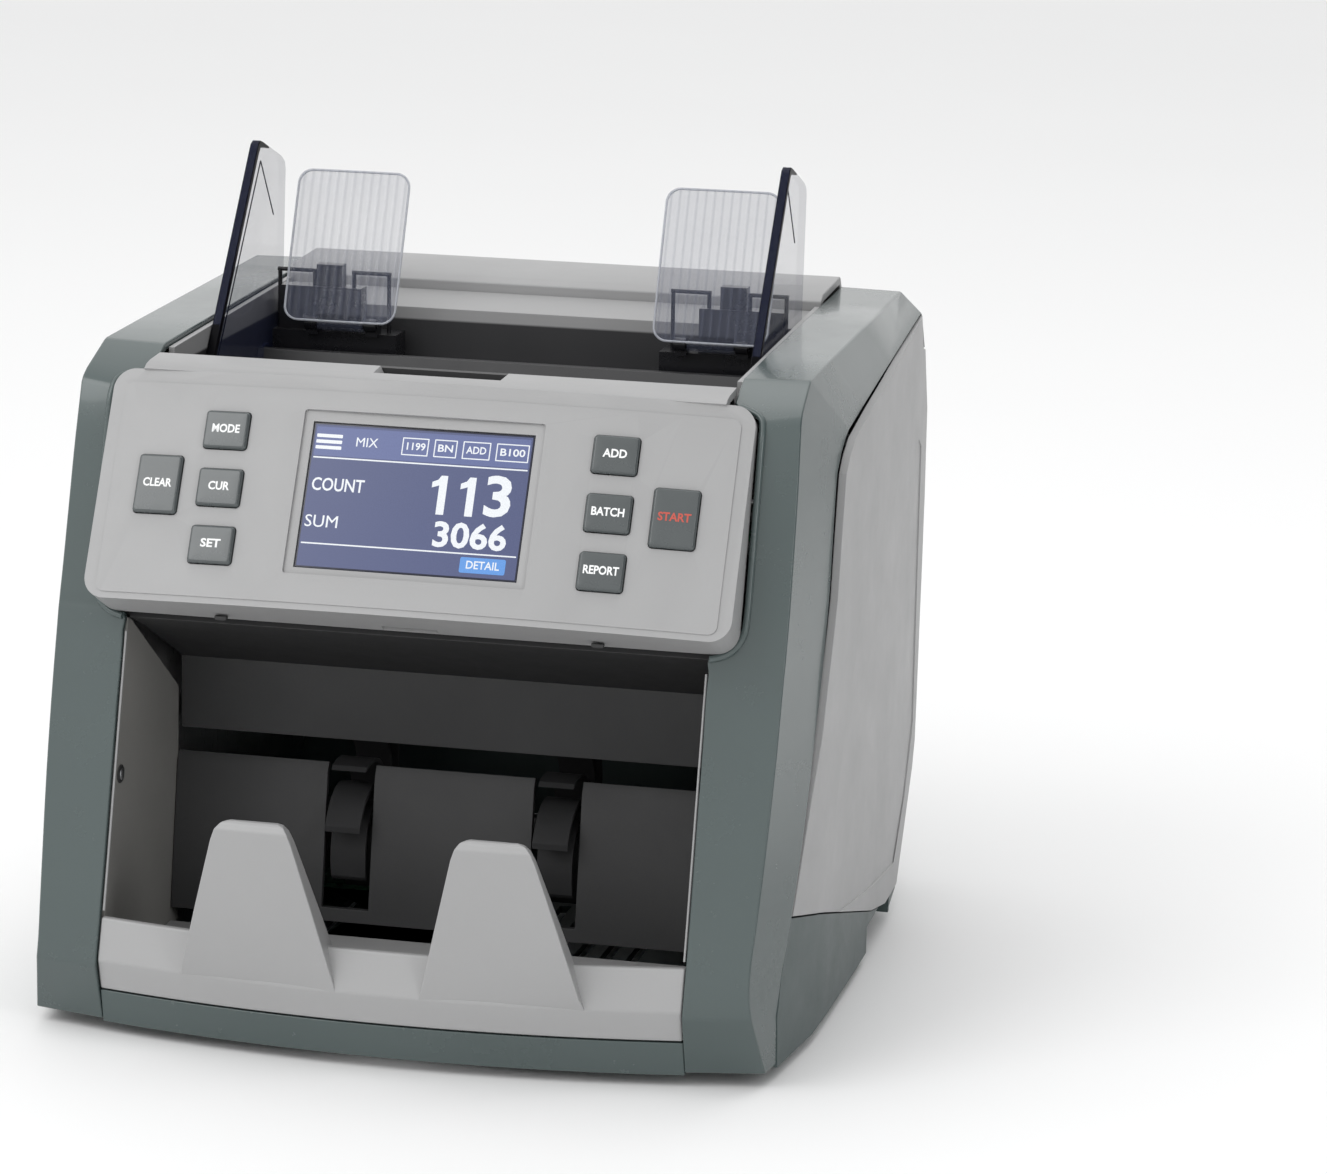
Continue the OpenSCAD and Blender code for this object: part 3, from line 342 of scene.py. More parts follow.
# ---------- looks ----------
SLATE = (0.060, 0.082, 0.081)
LIGHT = (0.318, 0.318, 0.320)
HOPPER_DARK_BELOW = 0.2055        # level under which the hopper's rear wall is dark, in m
MATERIALS = {
    "slate_cover": plastic("slate_plastic", SLATE, 0.26, grain=1800, bump=0.012, vary=0.04,
                           swing=0.03, wear_and_highlight=0.10, coat=0.32),
    "light_cover": plastic("light_plastic", LIGHT, 0.42, grain=1500, bump=0.06, vary=0.02,
                           wear_and_highlight=0.05),
    "tray": plastic("tray_plastic", shade(LIGHT, 1.08), 0.40, grain=1500, bump=0.05, vary=0.02,
                    wear_and_highlight=0.06),
    "dark_moulding": plastic("dark_plastic", (0.030, 0.030, 0.031), 0.50, bump=0.10, vary=0.10,
                             wear_and_highlight=0.10),
    "trim_black": plastic("trim_black", (0.003, 0.003, 0.004), 0.30, bump=0.02, vary=0.15, ior=1.12,
                          wear_and_highlight=0.0),
    "slate_matte": plastic("slate_matte", SLATE, 0.42, grain=1800, bump=0.04, vary=0.04, ior=1.4,
                           wear_and_highlight=0.08),
    "black_plastic": plastic("black_plastic", (0.008, 0.008, 0.010), 0.28, bump=0.06, vary=0.15,
                             wear_and_highlight=0.12),
    # the keys' much paler edges are a painted highlight on their bevels
    "key": plastic("key_plastic", (0.062, 0.072, 0.074), 0.26, grain=2400, bump=0.02, vary=0.05,
                   wear_and_highlight=0.9, coat=0.3),
    "screen": plastic("screen_glass", (0.010, 0.012, 0.030), 0.08, grain=300, bump=0.0, vary=0.1,
                      swing=0.03, wear_and_highlight=0.0),
    "steel": metal("rolled_steel", (0.50, 0.50, 0.51), 0.34, (1.0, 12.0, 1.0)),
    "zinc": metal("zinc_plate", (0.46, 0.47, 0.48), 0.42, (3.0, 3.0, 3.0), 160.0, 0.2),
    "rubber": rubber("black_rubber", (0.016, 0.016, 0.017)),
    "amber_rubber": two_rollers("amber_rubber", (0.42, 0.20, 0.035), (0.40, 0.40, 0.41)),
    "circuit_board": board("circuit_board"),
    "smoke_acrylic": acrylic("smoke_acrylic", (0.034, 0.044, 0.110), 0.21),
    "clear_acrylic": acrylic("clear_acrylic", (0.135, 0.150, 0.215), 0.18, 0.10, ribs=1.0),
    # pale edge of the clear note plates: a painted highlight
    "acrylic_edge_highlight": acrylic("acrylic_edge_highlight", (0.62, 0.64, 0.68), 0.72, 0.15),
    # the pocket walls' dark moulding made much paler: painted light standing in for the light that
    # falls into the pockets
    "pocket_plastic_painted_light": plastic("pocket_plastic_painted_light", (0.270, 0.265, 0.252), 0.45, bump=0.10, vary=0.06,
                              wear_and_highlight=0.10),
    "hopper_plastic": layered("hopper_plastic", LIGHT, (0.030, 0.030, 0.032), 0.42,
                              HOPPER_DARK_BELOW),
    "white_plastic": plastic("white_plastic", (0.62, 0.61, 0.58), 0.38, bump=0.04, vary=0.03),
    "legend_white": ink("legend_white", (0.85, 0.86, 0.86)),
    "legend_red": ink("legend_red", (0.50, 0.075, 0.050)),
    "lcd_back": glow("lcd_back", (0.058, 0.076, 0.185), 1.0),
    "lcd_bar": glow("lcd_bar", (0.10, 0.13, 0.30), 1.0),
    "lcd_button": glow("lcd_button", (0.10, 0.30, 0.72), 1.0),
    "lcd_white": glow("lcd_white", (0.82, 0.86, 0.90), 1.0),
}


# ---------- pieces ----------
def linked(obj):
    bpy.context.scene.collection.objects.link(obj)
    return obj


def finish_piece(obj, body, material, stands_for=()):
    """Gives a piece its look in its material slot and its body, and hides the nodes it takes the
    place of.
    """
    obj.data.materials.clear()
    obj.data.materials.append(MATERIALS[material])
    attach(obj, body)
    if stands_for:
        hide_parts(*stands_for)
    return obj


def mesh_piece(name, bm, smooth=True):
    mesh = bpy.data.meshes.new(name)
    bmesh.ops.recalc_face_normals(bm, faces=bm.faces)
    for face in bm.faces:
        face.smooth = smooth
    bm.to_mesh(mesh)
    bm.free()
    return linked(bpy.data.objects.new(name, mesh))


def soften(obj, width, segments=3, angle=30.0):
    """Rounds an object's sharp edges."""
    mod = obj.modifiers.new("round", "BEVEL")
    mod.width = width * MM
    mod.segments = segments
    mod.limit_method = "ANGLE"
    mod.angle_limit = math.radians(angle)
    mod.harden_normals = True
    mod.miter_outer = "MITER_ARC"


WELD_REACH = 0.000004             # in m
FLAT_WITHIN = 0.6                 # faces this close in angle, in degrees, become one


def tidy_node(obj, width):
    """Gives a carried-over CAD node clean smooth shading and rounded edges, by modifiers alone."""
    if "custom_normal" in obj.data.attributes:
        obj.data.attributes.remove(obj.data.attributes["custom_normal"])
    for poly in obj.data.polygons:
        poly.use_smooth = True
    weld = obj.modifiers.new("weld", "WELD")
    weld.merge_threshold = WELD_REACH
    flat = obj.modifiers.new("flat", "DECIMATE")
    flat.decimate_type = "DISSOLVE"
    flat.angle_limit = math.radians(FLAT_WITHIN)
    soften(obj, width, 2)


USUAL_EDGE = 0.2                  # rounding of a node's edges, in mm
EDGE = {  # and where it isn't the usual one
    "side_cover_left": 0.5, "side_cover_right": 0.5, "control_panel": 0.25, "front_bar": 0.4,
    "top_cover": 0.5, "rear_cover": 0.4, "main_motor": 0.5, "feet": 0.4, "guide_left": 0.25,
    "guide_right": 0.25,
}
LOOK = {  # look of a node that isn't the one of its slot
    # the pocket walls take the paler copy of their dark moulding: painted light
    "pocket_wall_left": "pocket_plastic_painted_light", "pocket_wall_right": "pocket_plastic_painted_light",
    "base_pan": "slate_matte", "hopper_rear_wall": "hopper_plastic",
}
for node_name, node_obj in NODES.items():
    node_obj.data.materials.clear()
    node_obj.data.materials.append(MATERIALS[LOOK.get(node_name, SLOT_OF[node_name])])
    tidy_node(node_obj, EDGE.get(node_name, USUAL_EDGE))


def body_of(node_name):
    return NODES[node_name]["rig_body"]


def rounded_ring(half_w, half_h, radius, z, per_corner=6):
    """Points round a rounded rectangle in the XY plane, in mm."""
    points = []
    for cx, cy, start in ((1, 1, 0), (-1, 1, 90), (-1, -1, 180), (1, -1, 270)):
        for i in range(per_corner + 1):
            a = math.radians(start + 90 * i / per_corner)
            points.append((cx * (half_w - radius) + radius * math.cos(a),
                           cy * (half_h - radius) + radius * math.sin(a), z))
    return points


def circle(radius, z, sides=24):
    """Points round a circle in the XY plane, in mm."""
    turns = [i * math.tau / sides for i in range(sides)]
    return [(math.cos(a) * radius, math.sin(a) * radius, z) for a in turns]


def skin(rings, place):
    """Closed skin through rings of points, each put in the scene by place."""
    bm = bmesh.new()
    rows = [[bm.verts.new(place(p)) for p in ring] for ring in rings]
    n = len(rows[0])
    for a, b in zip(rows, rows[1:]):
        for i in range(n):
            bm.faces.new((a[i], a[(i + 1) % n], b[(i + 1) % n], b[i]))
    bm.faces.new(list(reversed(rows[0])))
    bm.faces.new(rows[-1])
    return bm


def loft(rings):
    """Skin through rings given in the piece's own frame in mm."""
    return skin(rings, lambda p: Vector(p) * MM)


def machine_loft(rings, sx=1):
    """Skin through rings given in the machine frame in mm, mirrored when sx is -1."""
    return skin(rings, lambda p: at(sx * p[0], p[1], p[2]))


def tube(name, points, radius, body, material, resolution=6, order=3):
    """A round bead or wire through points given in metres; order 2 keeps its corners sharp."""
    curve = bpy.data.curves.new(name, "CURVE")
    curve.dimensions = "3D"
    curve.bevel_depth = radius * MM
    curve.bevel_resolution = 3
    curve.resolution_u = resolution
    curve.use_fill_caps = True
    spline = curve.splines.new("NURBS")
    spline.points.add(len(points) - 1)
    for sp, p in zip(spline.points, points):
        sp.co = (*p, 1.0)
    spline.use_endpoint_u = True
    spline.order_u = order
    return finish_piece(linked(bpy.data.objects.new(name, curve)), body, material)


def turn(degrees, axis):
    return Matrix.Rotation(math.radians(degrees), 4, axis)


def raised(out):
    """A step along a frame's own normal, in mm."""
    return Matrix.Translation((0, 0, out * MM))


PANEL = Matrix.Translation(at(*PANEL_FOOT)) @ turn(90 - PANEL_TILT, "X")


def face_matrix(u, v, out=0.0):
    """Frame of a spot on the panel's curved face, out in mm along its normal."""
    a = u / PANEL_R
    drop = PANEL_CROWN + PANEL_R * (math.cos(a) - 1)
    return (PANEL @ Matrix.Translation(Vector((PANEL_R * math.sin(a), v, drop)) * MM)
            @ Matrix.Rotation(a, 4, "Y") @ raised(out))


CAP_SHARE = 0.70                  # height of a capital over the font's size


def lettering(name, text, height, matrix, body, material, width, weight=0.0, thick=0.04):
    """Text of a given cap height and width in mm, centred on the matrix."""
    curve = bpy.data.curves.new(name, "FONT")
    curve.body = text
    curve.size = height * MM / CAP_SHARE
    curve.align_x = "CENTER"
    curve.align_y = "CENTER"
    curve.extrude = thick * MM
    curve.offset = weight * MM
    curve.resolution_u = 3
    obj = linked(bpy.data.objects.new(name, curve))
    obj.matrix_world = matrix
    bpy.context.view_layer.update()
    obj.matrix_world = matrix @ Matrix.Diagonal((width * MM / obj.dimensions.x, 1, 1, 1))
    return finish_piece(obj, body, material)


def plate(name, w, h, t, matrix, body, material, radius=0.4):
    """A thin rounded plate lying on the matrix's XY plane."""
    bm = loft([rounded_ring(w / 2, h / 2, radius, 0), rounded_ring(w / 2, h / 2, radius, t)])
    obj = mesh_piece(name, bm, smooth=False)
    obj.matrix_world = matrix
    return finish_piece(obj, body, material)


# ---------- keys: softly crowned caps with printed legends ----------
CAP_PROFILE = ((-2.9, 0.0, 1.1), (1.15, 0.0, 1.1), (1.32, 0.04, 1.1), (1.74, 0.46, 0.8),
               (1.86, 0.62, 0.7), (1.88, 0.80, 0.6), (1.88, 3.6, 0.3))  # height, inset, corner
STEM_R, STEM_LOW, STEM_HIGH = 2, -7.0, -2.6
LEGEND_OUT = 1.92        # just proud of the cap's top
for key, (u, v, w, h, legend) in KEYS.items():
    cap = mesh_piece(f"{key}_cap", loft([rounded_ring(w / 2 - inset, h / 2 - inset, r, z)
                                         for z, inset, r in CAP_PROFILE]))
    cap.matrix_world = face_matrix(u, v)
    finish_piece(cap, f"key_{key}", "key", [f"key_{key}"])
    stem = mesh_piece(f"{key}_stem", loft([circle(STEM_R, z, 16) for z in (STEM_LOW, STEM_HIGH)]))
    stem.matrix_world = face_matrix(u, v)
    soften(stem, 0.1, 2, 40)
    finish_piece(stem, f"key_{key}", "key")
    lettering(f"{key}_legend", legend, 2.6, face_matrix(u, v + 0.2, LEGEND_OUT), f"key_{key}",
              "legend_red" if legend == "START" else "legend_white", LEGEND_WIDTH[legend], 0.10,
              0.03)


# ---------- display picture: thin plates and letters, layered a few hundredths apart ----------
def lcd(u, v, out=0.0):
    """Frame of a spot on the display, from its middle."""
    return PANEL @ Matrix.Translation(Vector((u, LCD_MID + v, LCD_OUT + out)) * MM)


def lcd_plate(name, w, h, u, v, out, look, radius):
    plate(f"lcd_{name}", w, h, 0.03, lcd(u, v, out), "chassis", look, radius)


def lcd_word(name, text, height, u, v, width, weight):
    lettering(f"lcd_{name}", text, height, lcd(u, v, 0.1), "chassis", "lcd_white", width, weight)


HEADER_V = 17.6          # middle of the header up from the display's middle
lcd_plate("picture", LCD_W - 1.6, LCD_H - 1.6, 0, 0, 0.0, "lcd_back", 0.3)
lcd_plate("header", LCD_W - 2.6, 9.4, 0, HEADER_V, 0.03, "lcd_bar", 0.3)
lcd_plate("rule_top", LCD_W - 2.6, 0.45, 0, 12.3, 0.05, "lcd_white", 0.1)
lcd_plate("rule_low", LCD_W - 2.6, 0.45, 0, -15.6, 0.05, "lcd_white", 0.1)
lcd_plate("button_box", 14.6, 5.0, 24.4, -19.2, 0.05, "lcd_button", 0.6)
lcd_word("button_word", "DETAIL", 2.5, 24.4, -19.2, 10.6, 0.04)
lcd_word("mode_word", "MIX", 3.0, -18.0, 17.8, 7.0, 0.0)
lcd_word("count_word", "COUNT", 4.1, -25.4, 3.4, 17.0, 0.07)
lcd_word("sum_word", "SUM", 3.9, -29.0, -8.6, 10.6, 0.0)
lcd_word("count_digit_3", "3", 12.6, 26.6, 2.6, 8.4, 0.42)
ONE = [(1.3, -6.3), (1.3, 6.3), (-0.8, 6.3), (-1.7, 4.9), (-3.5, 4.1), (-3.5, 2.3), (-1.2, 3.1),
       (-1.2, -6.3)]     # outline of the figure one
for i, u in enumerate((8.4, 17.6)):
    rings = [[(x, y, z) for x, y in reversed(ONE)] for z in (0.0, 0.04)]
    one = mesh_piece(f"lcd_count_digit_{i + 1}", loft(rings), smooth=False)
    one.matrix_world = lcd(u, 2.6, 0.08)
    finish_piece(one, "chassis", "lcd_white")
lcd_word("sum_digits", "3066", 7.8, 19.0, -10.4, 23.5, 0.28)
BOX_H, BOX_LINE = 5.7, 0.35
for i, (u, w, word) in enumerate(((-2.2, 8.2, "1199"), (7.6, 7.0, "BN"), (17.6, 8.6, "ADD"),
                                  (29.2, 10.2, "B100"))):
    for part, du, dv, bw, bh in (("a", 0, 2.7, w, BOX_LINE), ("b", 0, -2.7, w, BOX_LINE),
                                 ("c", -w / 2, 0, BOX_LINE, BOX_H),
                                 ("d", w / 2, 0, BOX_LINE, BOX_H)):
        lcd_plate(f"box_{i}_{part}", bw, bh, u + du, HEADER_V + dv, 0.07, "lcd_white", 0.1)
    lcd_word(f"box_word_{i}", word, 2.3, u, HEADER_V, w - 2.2, 0.05)
for i in range(3):
    lcd_plate(f"stack_icon_{i}", 8.4, 1.1, -30.2, 15.6 + 1.9 * i, 0.07, "lcd_white", 0.2)


# ---------- slate front frame: the section rows of the column, faired along its length ----------
WALL = 2.6
RIDGE_WALL, RIM_WALL = 0.7 * WALL, 0.2   # inward step at the ridge; share of the wall at the rim
# inner edge, ridge and outer edge (x, y, z each), then the lean of the wall in degrees
FRAME_ROWS = [
    (95.2, -5.9, 3.9, 119.7, 0.0, 3.9, 120.9, 11.0, 3.9, 0),
    (95.2, -12.6, 24.3, 116.4, -8.7, 24.3, 121.0, 10.5, 22.0, 0),
    (95.2, -11.2, 30.0, 115.6, -9.2, 31.0, 121.4, 12.0, 32.0, 0),
    (95.2, -7.8, 41.0, 115.5, -7.8, 41.0, 122.2, 15.0, 41.0, 0),
    (95.2, -4.2, 54.0, 116.2, -3.6, 54.0, 123.4, 19.0, 54.0, 0),
    (95.2, 2.6, 80.0, 117.4, 4.2, 80.0, 124.0, 33.0, 80.0, 0),
    (95.2, 8.9, 104.0, 118.1, 11.4, 104.0, 124.0, 45.0, 104.0, 0),
    (95.2, 15.0, 127.0, 118.4, 18.2, 127.0, 124.0, 56.0, 127.0, 0),
    (95.6, 16.6, 132.6, 118.5, 20.0, 132.6, 124.0, 58.0, 132.6, 0),
    (98.2, 17.5, 134.0, 118.5, 20.6, 134.4, 124.0, 58.8, 134.6, 0),
    (102.2, 18.6, 137.2, 118.5, 21.6, 137.4, 124.0, 60.0, 138.0, 0),
    (105.0, 20.2, 142.0, 118.5, 23.2, 142.0, 124.0, 61.6, 143.0, 0),
    (105.2, 26.0, 163.0, 118.3, 29.4, 163.0, 124.0, 65.6, 164.0, 6),
    (105.2, 32.0, 184.0, 118.0, 35.2, 184.0, 124.0, 69.6, 182.0, 14),
    (105.2, 37.4, 201.6, 117.4, 40.4, 203.0, 124.0, 76.0, 187.6, 40),
    (104.6, 41.2, 204.2, 117.1, 43.6, 205.6, 124.0, 79.4, 189.4, 60),
    (99.0, 43.4, 205.8, 117.0, 45.6, 206.6, 124.0, 80.6, 190.0, 62),
    (95.2, 44.6, 206.6, 116.9, 47.6, 207.5, 124.0, 81.8, 190.5, 64),
    (95.2, 58.0, 212.7, 116.4, 60.0, 213.0, 124.0, 87.5, 192.4, 80),
    (95.2, 95.0, 213.8, 116.4, 95.0, 213.9, 124.0, 112.0, 195.6, 90),
    (95.2, 150.0, 215.2, 116.4, 150.0, 215.0, 124.0, 158.0, 201.4, 90),
    (95.2, 220.0, 216.8, 116.4, 220.0, 216.4, 124.0, 221.0, 209.0, 100),
    (95.2, 226.0, 212.2, 116.4, 226.0, 211.4, 124.0, 225.0, 203.4, 130),
    (95.2, 233.4, 195.6, 116.4, 233.2, 195.4, 124.0, 230.2, 195.0, 180),
]


CRISP_FROM = 184.0       # above this ridge height the bends are tight fillets between flat facets
CRISP_BELOW = 24.0       # and below this one
FILLET = 1.1             # reach of those fillets from each row
KNOT_GAP = 0.2           # least distance between rows


def faired(rows, steps=5):
    """Rows filled in by a smooth curve, and at both ends by flat facets with small fillets."""
    knots = [0.0]
    for a, b in zip(rows, rows[1:]):
        knots.append(knots[-1] + (Vector(b[3:6]) - Vector(a[3:6])).length + KNOT_GAP)
    slopes = [[(q - p) / (v - u) for p, q in zip(a, b)]
              for a, b, u, v in zip(rows, rows[1:], knots, knots[1:])]
    tangents = [slopes[0]]
    for i in range(1, len(rows) - 1):
        h0, h1 = knots[i] - knots[i - 1], knots[i + 1] - knots[i]
        tangents.append([(h1 * p + h0 * q) / (h0 + h1) for p, q in zip(slopes[i - 1], slopes[i])])
    tangents.append(slopes[-1])
    out = []
    for i in range(len(rows) - 1):
        h = knots[i + 1] - knots[i]
        if rows[i][5] >= CRISP_FROM or rows[i][5] < CRISP_BELOW:
            near = min(0.3, FILLET / h)
            for t in (near, 1 - near):
                out.append([(1 - t) * p + t * q for p, q in zip(rows[i], rows[i + 1])])
            continue
        for k in range(steps):
            t = k / steps
            out.append([(2 * t ** 3 - 3 * t * t + 1) * p + (t ** 3 - 2 * t * t + t) * h * m
                        + (3 * t * t - 2 * t ** 3) * q + (t ** 3 - t * t) * h * n
                        for p, q, m, n in zip(rows[i], rows[i + 1], tangents[i], tangents[i + 1])])
    return out + [list(rows[-1])]


for side, sx in SIDES:
    rings = []
    for r in faired(FRAME_ROWS):
        dy, dz = math.cos(math.radians(r[9])) * WALL, -math.sin(math.radians(r[9])) * WALL
        rings.append([r[0:3], r[3:6], r[6:9],
                      (r[6] - WALL, r[7] + dy * RIM_WALL, r[8] + dz * RIM_WALL),
                      (r[3] - RIDGE_WALL, r[4] + dy, r[5] + dz), (r[0], r[1] + dy, r[2] + dz)])
    shell = mesh_piece(f"front_frame_{side}", machine_loft(rings, sx))
    soften(shell, 0.55, 3, 28)
    finish_piece(shell, "chassis", "slate_cover", [f"frame_{side}"])

# ---------- stacker tray: curved front wall with a crease, a floor and two leaning fingers ------
BAR_CY = 439.8           # centre of the curve of the tray and the front bar
TRAY_HALF, TRAY_LOW, TRAY_FLOOR = 94.9, 15.9, 18.4
TRAY_STEPS = 24          # on each side of the middle
# section of the wall: radius about that centre, height
TRAY_WALL = [(458.5, 15.9), (459.9, 21.0), (461.2, 26.0), (459.2, 32.6), (457.3, 39.0),
             (454.8, 39.0), (456.6, 33.0), (458.6, 26.0), (456.6, 18.4), (452.0, 18.4),
             (452.0, 15.9)]


def on_bow(radius, x):
    """Depth of an arc about the centre of the curve, at x."""
    return BAR_CY - math.sqrt(radius * radius - x * x)


rings = [[(x, on_bow(r, x), z) for r, z in TRAY_WALL]
         for x in (TRAY_HALF * (i / TRAY_STEPS - 1) for i in range(2 * TRAY_STEPS + 1))]
wall_piece = mesh_piece("tray_wall", machine_loft(rings))
soften(wall_piece, 0.7, 3, 18)
finish_piece(wall_piece, "chassis", "tray", ["stacker_tray"])
corners = [(-TRAY_HALF, -6), (TRAY_HALF, -6), (TRAY_HALF, 59), (-TRAY_HALF, 59)]
rings = [[(x, y, z) for x, y in corners] for z in (TRAY_LOW, TRAY_FLOOR)]
floor_piece = mesh_piece("tray_floor", machine_loft(rings), smooth=False)
soften(floor_piece, 0.4, 2)
finish_piece(floor_piece, "chassis", "tray")
FINGER_BOW = 461.1       # radius the fingers' feet follow
FINGER_SKEW, FINGER_BULGE, FINGER_TAPER = 0.045, 0.25, 1.2
# each level of a finger: z, inner x, outer x, front y (on the bow if None), back y
FINGER = [(25.6, 13.2, 65.5, None, -7.0), (30.0, 14.4, 64.2, -21.6, -8.2),
          (52.0, 19.8, 58.2, -25.4, -15.0), (74.0, 25.3, 52.0, -29.1, -22.0),
          (77.6, 26.6, 50.6, -29.5, -23.2), (79.6, 28.0, 48.8, -28.4, -24.4),
          (80.3, 30.0, 46.6, -27.2, -25.4)]
for side, sx in SIDES:
    rings = []
    for z, xi, xo, yf, yb in FINGER:
        f0 = on_bow(FINGER_BOW, xi) if yf is None else yf
        f1 = on_bow(FINGER_BOW, xo) if yf is None else yf + (xo - xi) * FINGER_SKEW
        rings.append([(xi, f0, z), ((xi + xo) / 2, (f0 + f1) / 2 - FINGER_BULGE, z), (xo, f1, z),
                      (xo - FINGER_TAPER, yb, z), (xi + FINGER_TAPER, yb, z)])
    finger = mesh_piece(f"tray_finger_{side}", machine_loft(rings, sx))
    soften(finger, 1.3, 4, 26)
    finish_piece(finger, "chassis", "tray")

# raised bead on the frame that hugs the panel's sides and turns in under its corners
BEAD = [(98.0, 43.2, 206.4), (102.6, 41.6, 205.4), (105.6, 40.0, 203.6), (106.2, 37.6, 200.6),
        (106.3, 35.6, 197.0), (106.3, 31.9, 184.0), (106.3, 26.0, 163.0), (106.2, 20.6, 143.6),
        (105.4, 18.9, 138.4), (102.6, 17.6, 134.6), (99.0, 16.5, 132.6), (95.6, 16.0, 132.0)]
BEAD_IN, BEAD_OUT, BEAD_R = 0.2, 0.3, 1.15
for side, sx in SIDES:
    bead = [at(sx * (x - BEAD_IN), y - BEAD_OUT, z) for x, y, z in BEAD]
    tube(f"panel_bead_{side}", bead, BEAD_R, "chassis", "slate_cover")

# pale front lip of each pocket wall, beside the column's inner edge
LIP_X, LIP_BACK, LIP_LOW, LIP_HIGH, LIP_R = 94.4, 1.3, 40.0, 128.0, 0.4
for side, sx in SIDES:
    lip = [at(sx * LIP_X, r[1] + LIP_BACK, r[2]) for r in FRAME_ROWS if LIP_LOW < r[2] < LIP_HIGH]
    tube(f"pocket_lip_{side}", lip, LIP_R, "chassis", "light_cover")

# ---------- side guides: black front edges and the bend line of the flared border ----------
GUIDE_X = 91.0
GUIDE_SKIN = 1.25        # from a guide's middle to the face the bend line lies on
EDGE_WIDTHS = (2.3, 2.3, 2.3, 2.6, 2.4, 1.8, 0.6)
EDGE_HALF = 1.5
GUIDE_FRONT = [(82.6, 192.6), (108.2, 227.0), (136.5, 265.2), (138.3, 267.4), (140.5, 268.25),
               (143.5, 267.45), (150.0, 265.05)]
GUIDE_BEND = [(101.0, 199.0), (115.8, 218.0), (147.0, 258.2), (148.7, 260.3)]
GUIDE_TOP = [(148.7, 260.3), (163.6, 255.0), (163.0, 240.0)]


def edge_strip(name, path, widths, half, sx, body, material):
    """A strip that wraps the rim of a flat guide along a path of (y, z) points."""
    rings = []
    for i, (y, z) in enumerate(path):
        before, after = path[max(i - 1, 0)], path[min(i + 1, len(path) - 1)]
        dy, dz = after[0] - before[0], after[1] - before[1]
        size = math.hypot(dy, dz)
        iy, iz = dz / size * widths[i], -dy / size * widths[i]
        rings.append([(sx * GUIDE_X - half, y, z), (sx * GUIDE_X + half, y, z),
                      (sx * GUIDE_X + half, y + iy, z + iz), (sx * GUIDE_X - half, y + iy, z + iz)])
    strip = mesh_piece(name, machine_loft(rings))
    soften(strip, 0.35, 3)
    return finish_piece(strip, body, material)


for side, sx in SIDES:
    body = body_of(f"guide_{side}")
    edge_strip(f"guide_{side}_edge", GUIDE_FRONT, EDGE_WIDTHS, EDGE_HALF, sx, body, "trim_black")
    for part, line in (("bend", GUIDE_BEND), ("top_bend", GUIDE_TOP)):
        tube(f"guide_{side}_{part}", [at(sx * GUIDE_X - GUIDE_SKIN, y, z) for y, z in line], 0.22,
             body, "trim_black", 1, 2)

# pale rim of each clear note plate: a painted highlight where its polished edge catches the light
PIN_X, PIN_Y, PIN_Z, PLATE_LEAN = 64.5, 151.8, 205.4, 22.0
RIM_HALF_W, RIM_HALF_H, RIM_CORNER = 19.55, 26.25, 5.0
RIM_Y, RIM_MID_Z = -3.8, 26.2    # place of the rim's middle on the leaning plate
for side, sx in SIDES:
    lean = Matrix.Translation(at(sx * PIN_X, PIN_Y, PIN_Z)) @ turn(-PLATE_LEAN, "X")
    ring = rounded_ring(RIM_HALF_W, RIM_HALF_H, RIM_CORNER, 0)
    rim = [lean @ (Vector((x, RIM_Y, z + RIM_MID_Z)) * MM) for x, z, _ in ring + ring[:1]]
    tube(f"note_plate_{side}_rim", rim, 0.4, body_of(f"note_plate_{side}"), "acrylic_edge_highlight", 3)

# ---------- small fittings ----------
# clips under the panel's lower edge
for side, sx in SIDES:
    rings = [rounded_ring(2.0, 1.0, 0.4, 0), rounded_ring(2.0, 1.0, 0.4, 1.0),
             rounded_ring(1.5, 0.7, 0.3, 1.5)]
    clip = mesh_piece(f"panel_clip_{side}", loft(rings))
    clip.matrix_world = Matrix.Translation(at(sx * 61, 11.0, 135.6)) @ turn(180, "X")
    soften(clip, 0.2, 2)
    finish_piece(clip, "chassis", "dark_moulding")

# screw in a slotted boss on each pocket wall, just behind the column
SCREW_AT = (94.9, 12.0, 81.0)
SCREW_PARTS = (("boss", 3.0, -0.6, 0.3, "dark_moulding"), ("head", 1.9, -0.4, 0.7, "zinc"))
for side, sx in SIDES:
    spot = Matrix.Translation(at(sx * SCREW_AT[0], *SCREW_AT[1:])) @ turn(-90 * sx, "Y")
    for part, radius, low, high, look in SCREW_PARTS:
        rings = [circle(radius, low), circle(radius, high - 0.3), circle(radius - 0.4, high)]
        piece = mesh_piece(f"pocket_screw_{part}_{side}", loft(rings))
        piece.matrix_world = spot
        soften(piece, 0.12, 2)
        finish_piece(piece, "chassis", look)
    # the slot is a thin black plate on the head: painted shade standing in for the slot's recess
    plate(f"pocket_screw_slot_shade_{side}", 2.8, 0.5, 0.06, spot @ raised(0.68), "chassis",
          "black_plastic", 0.1)

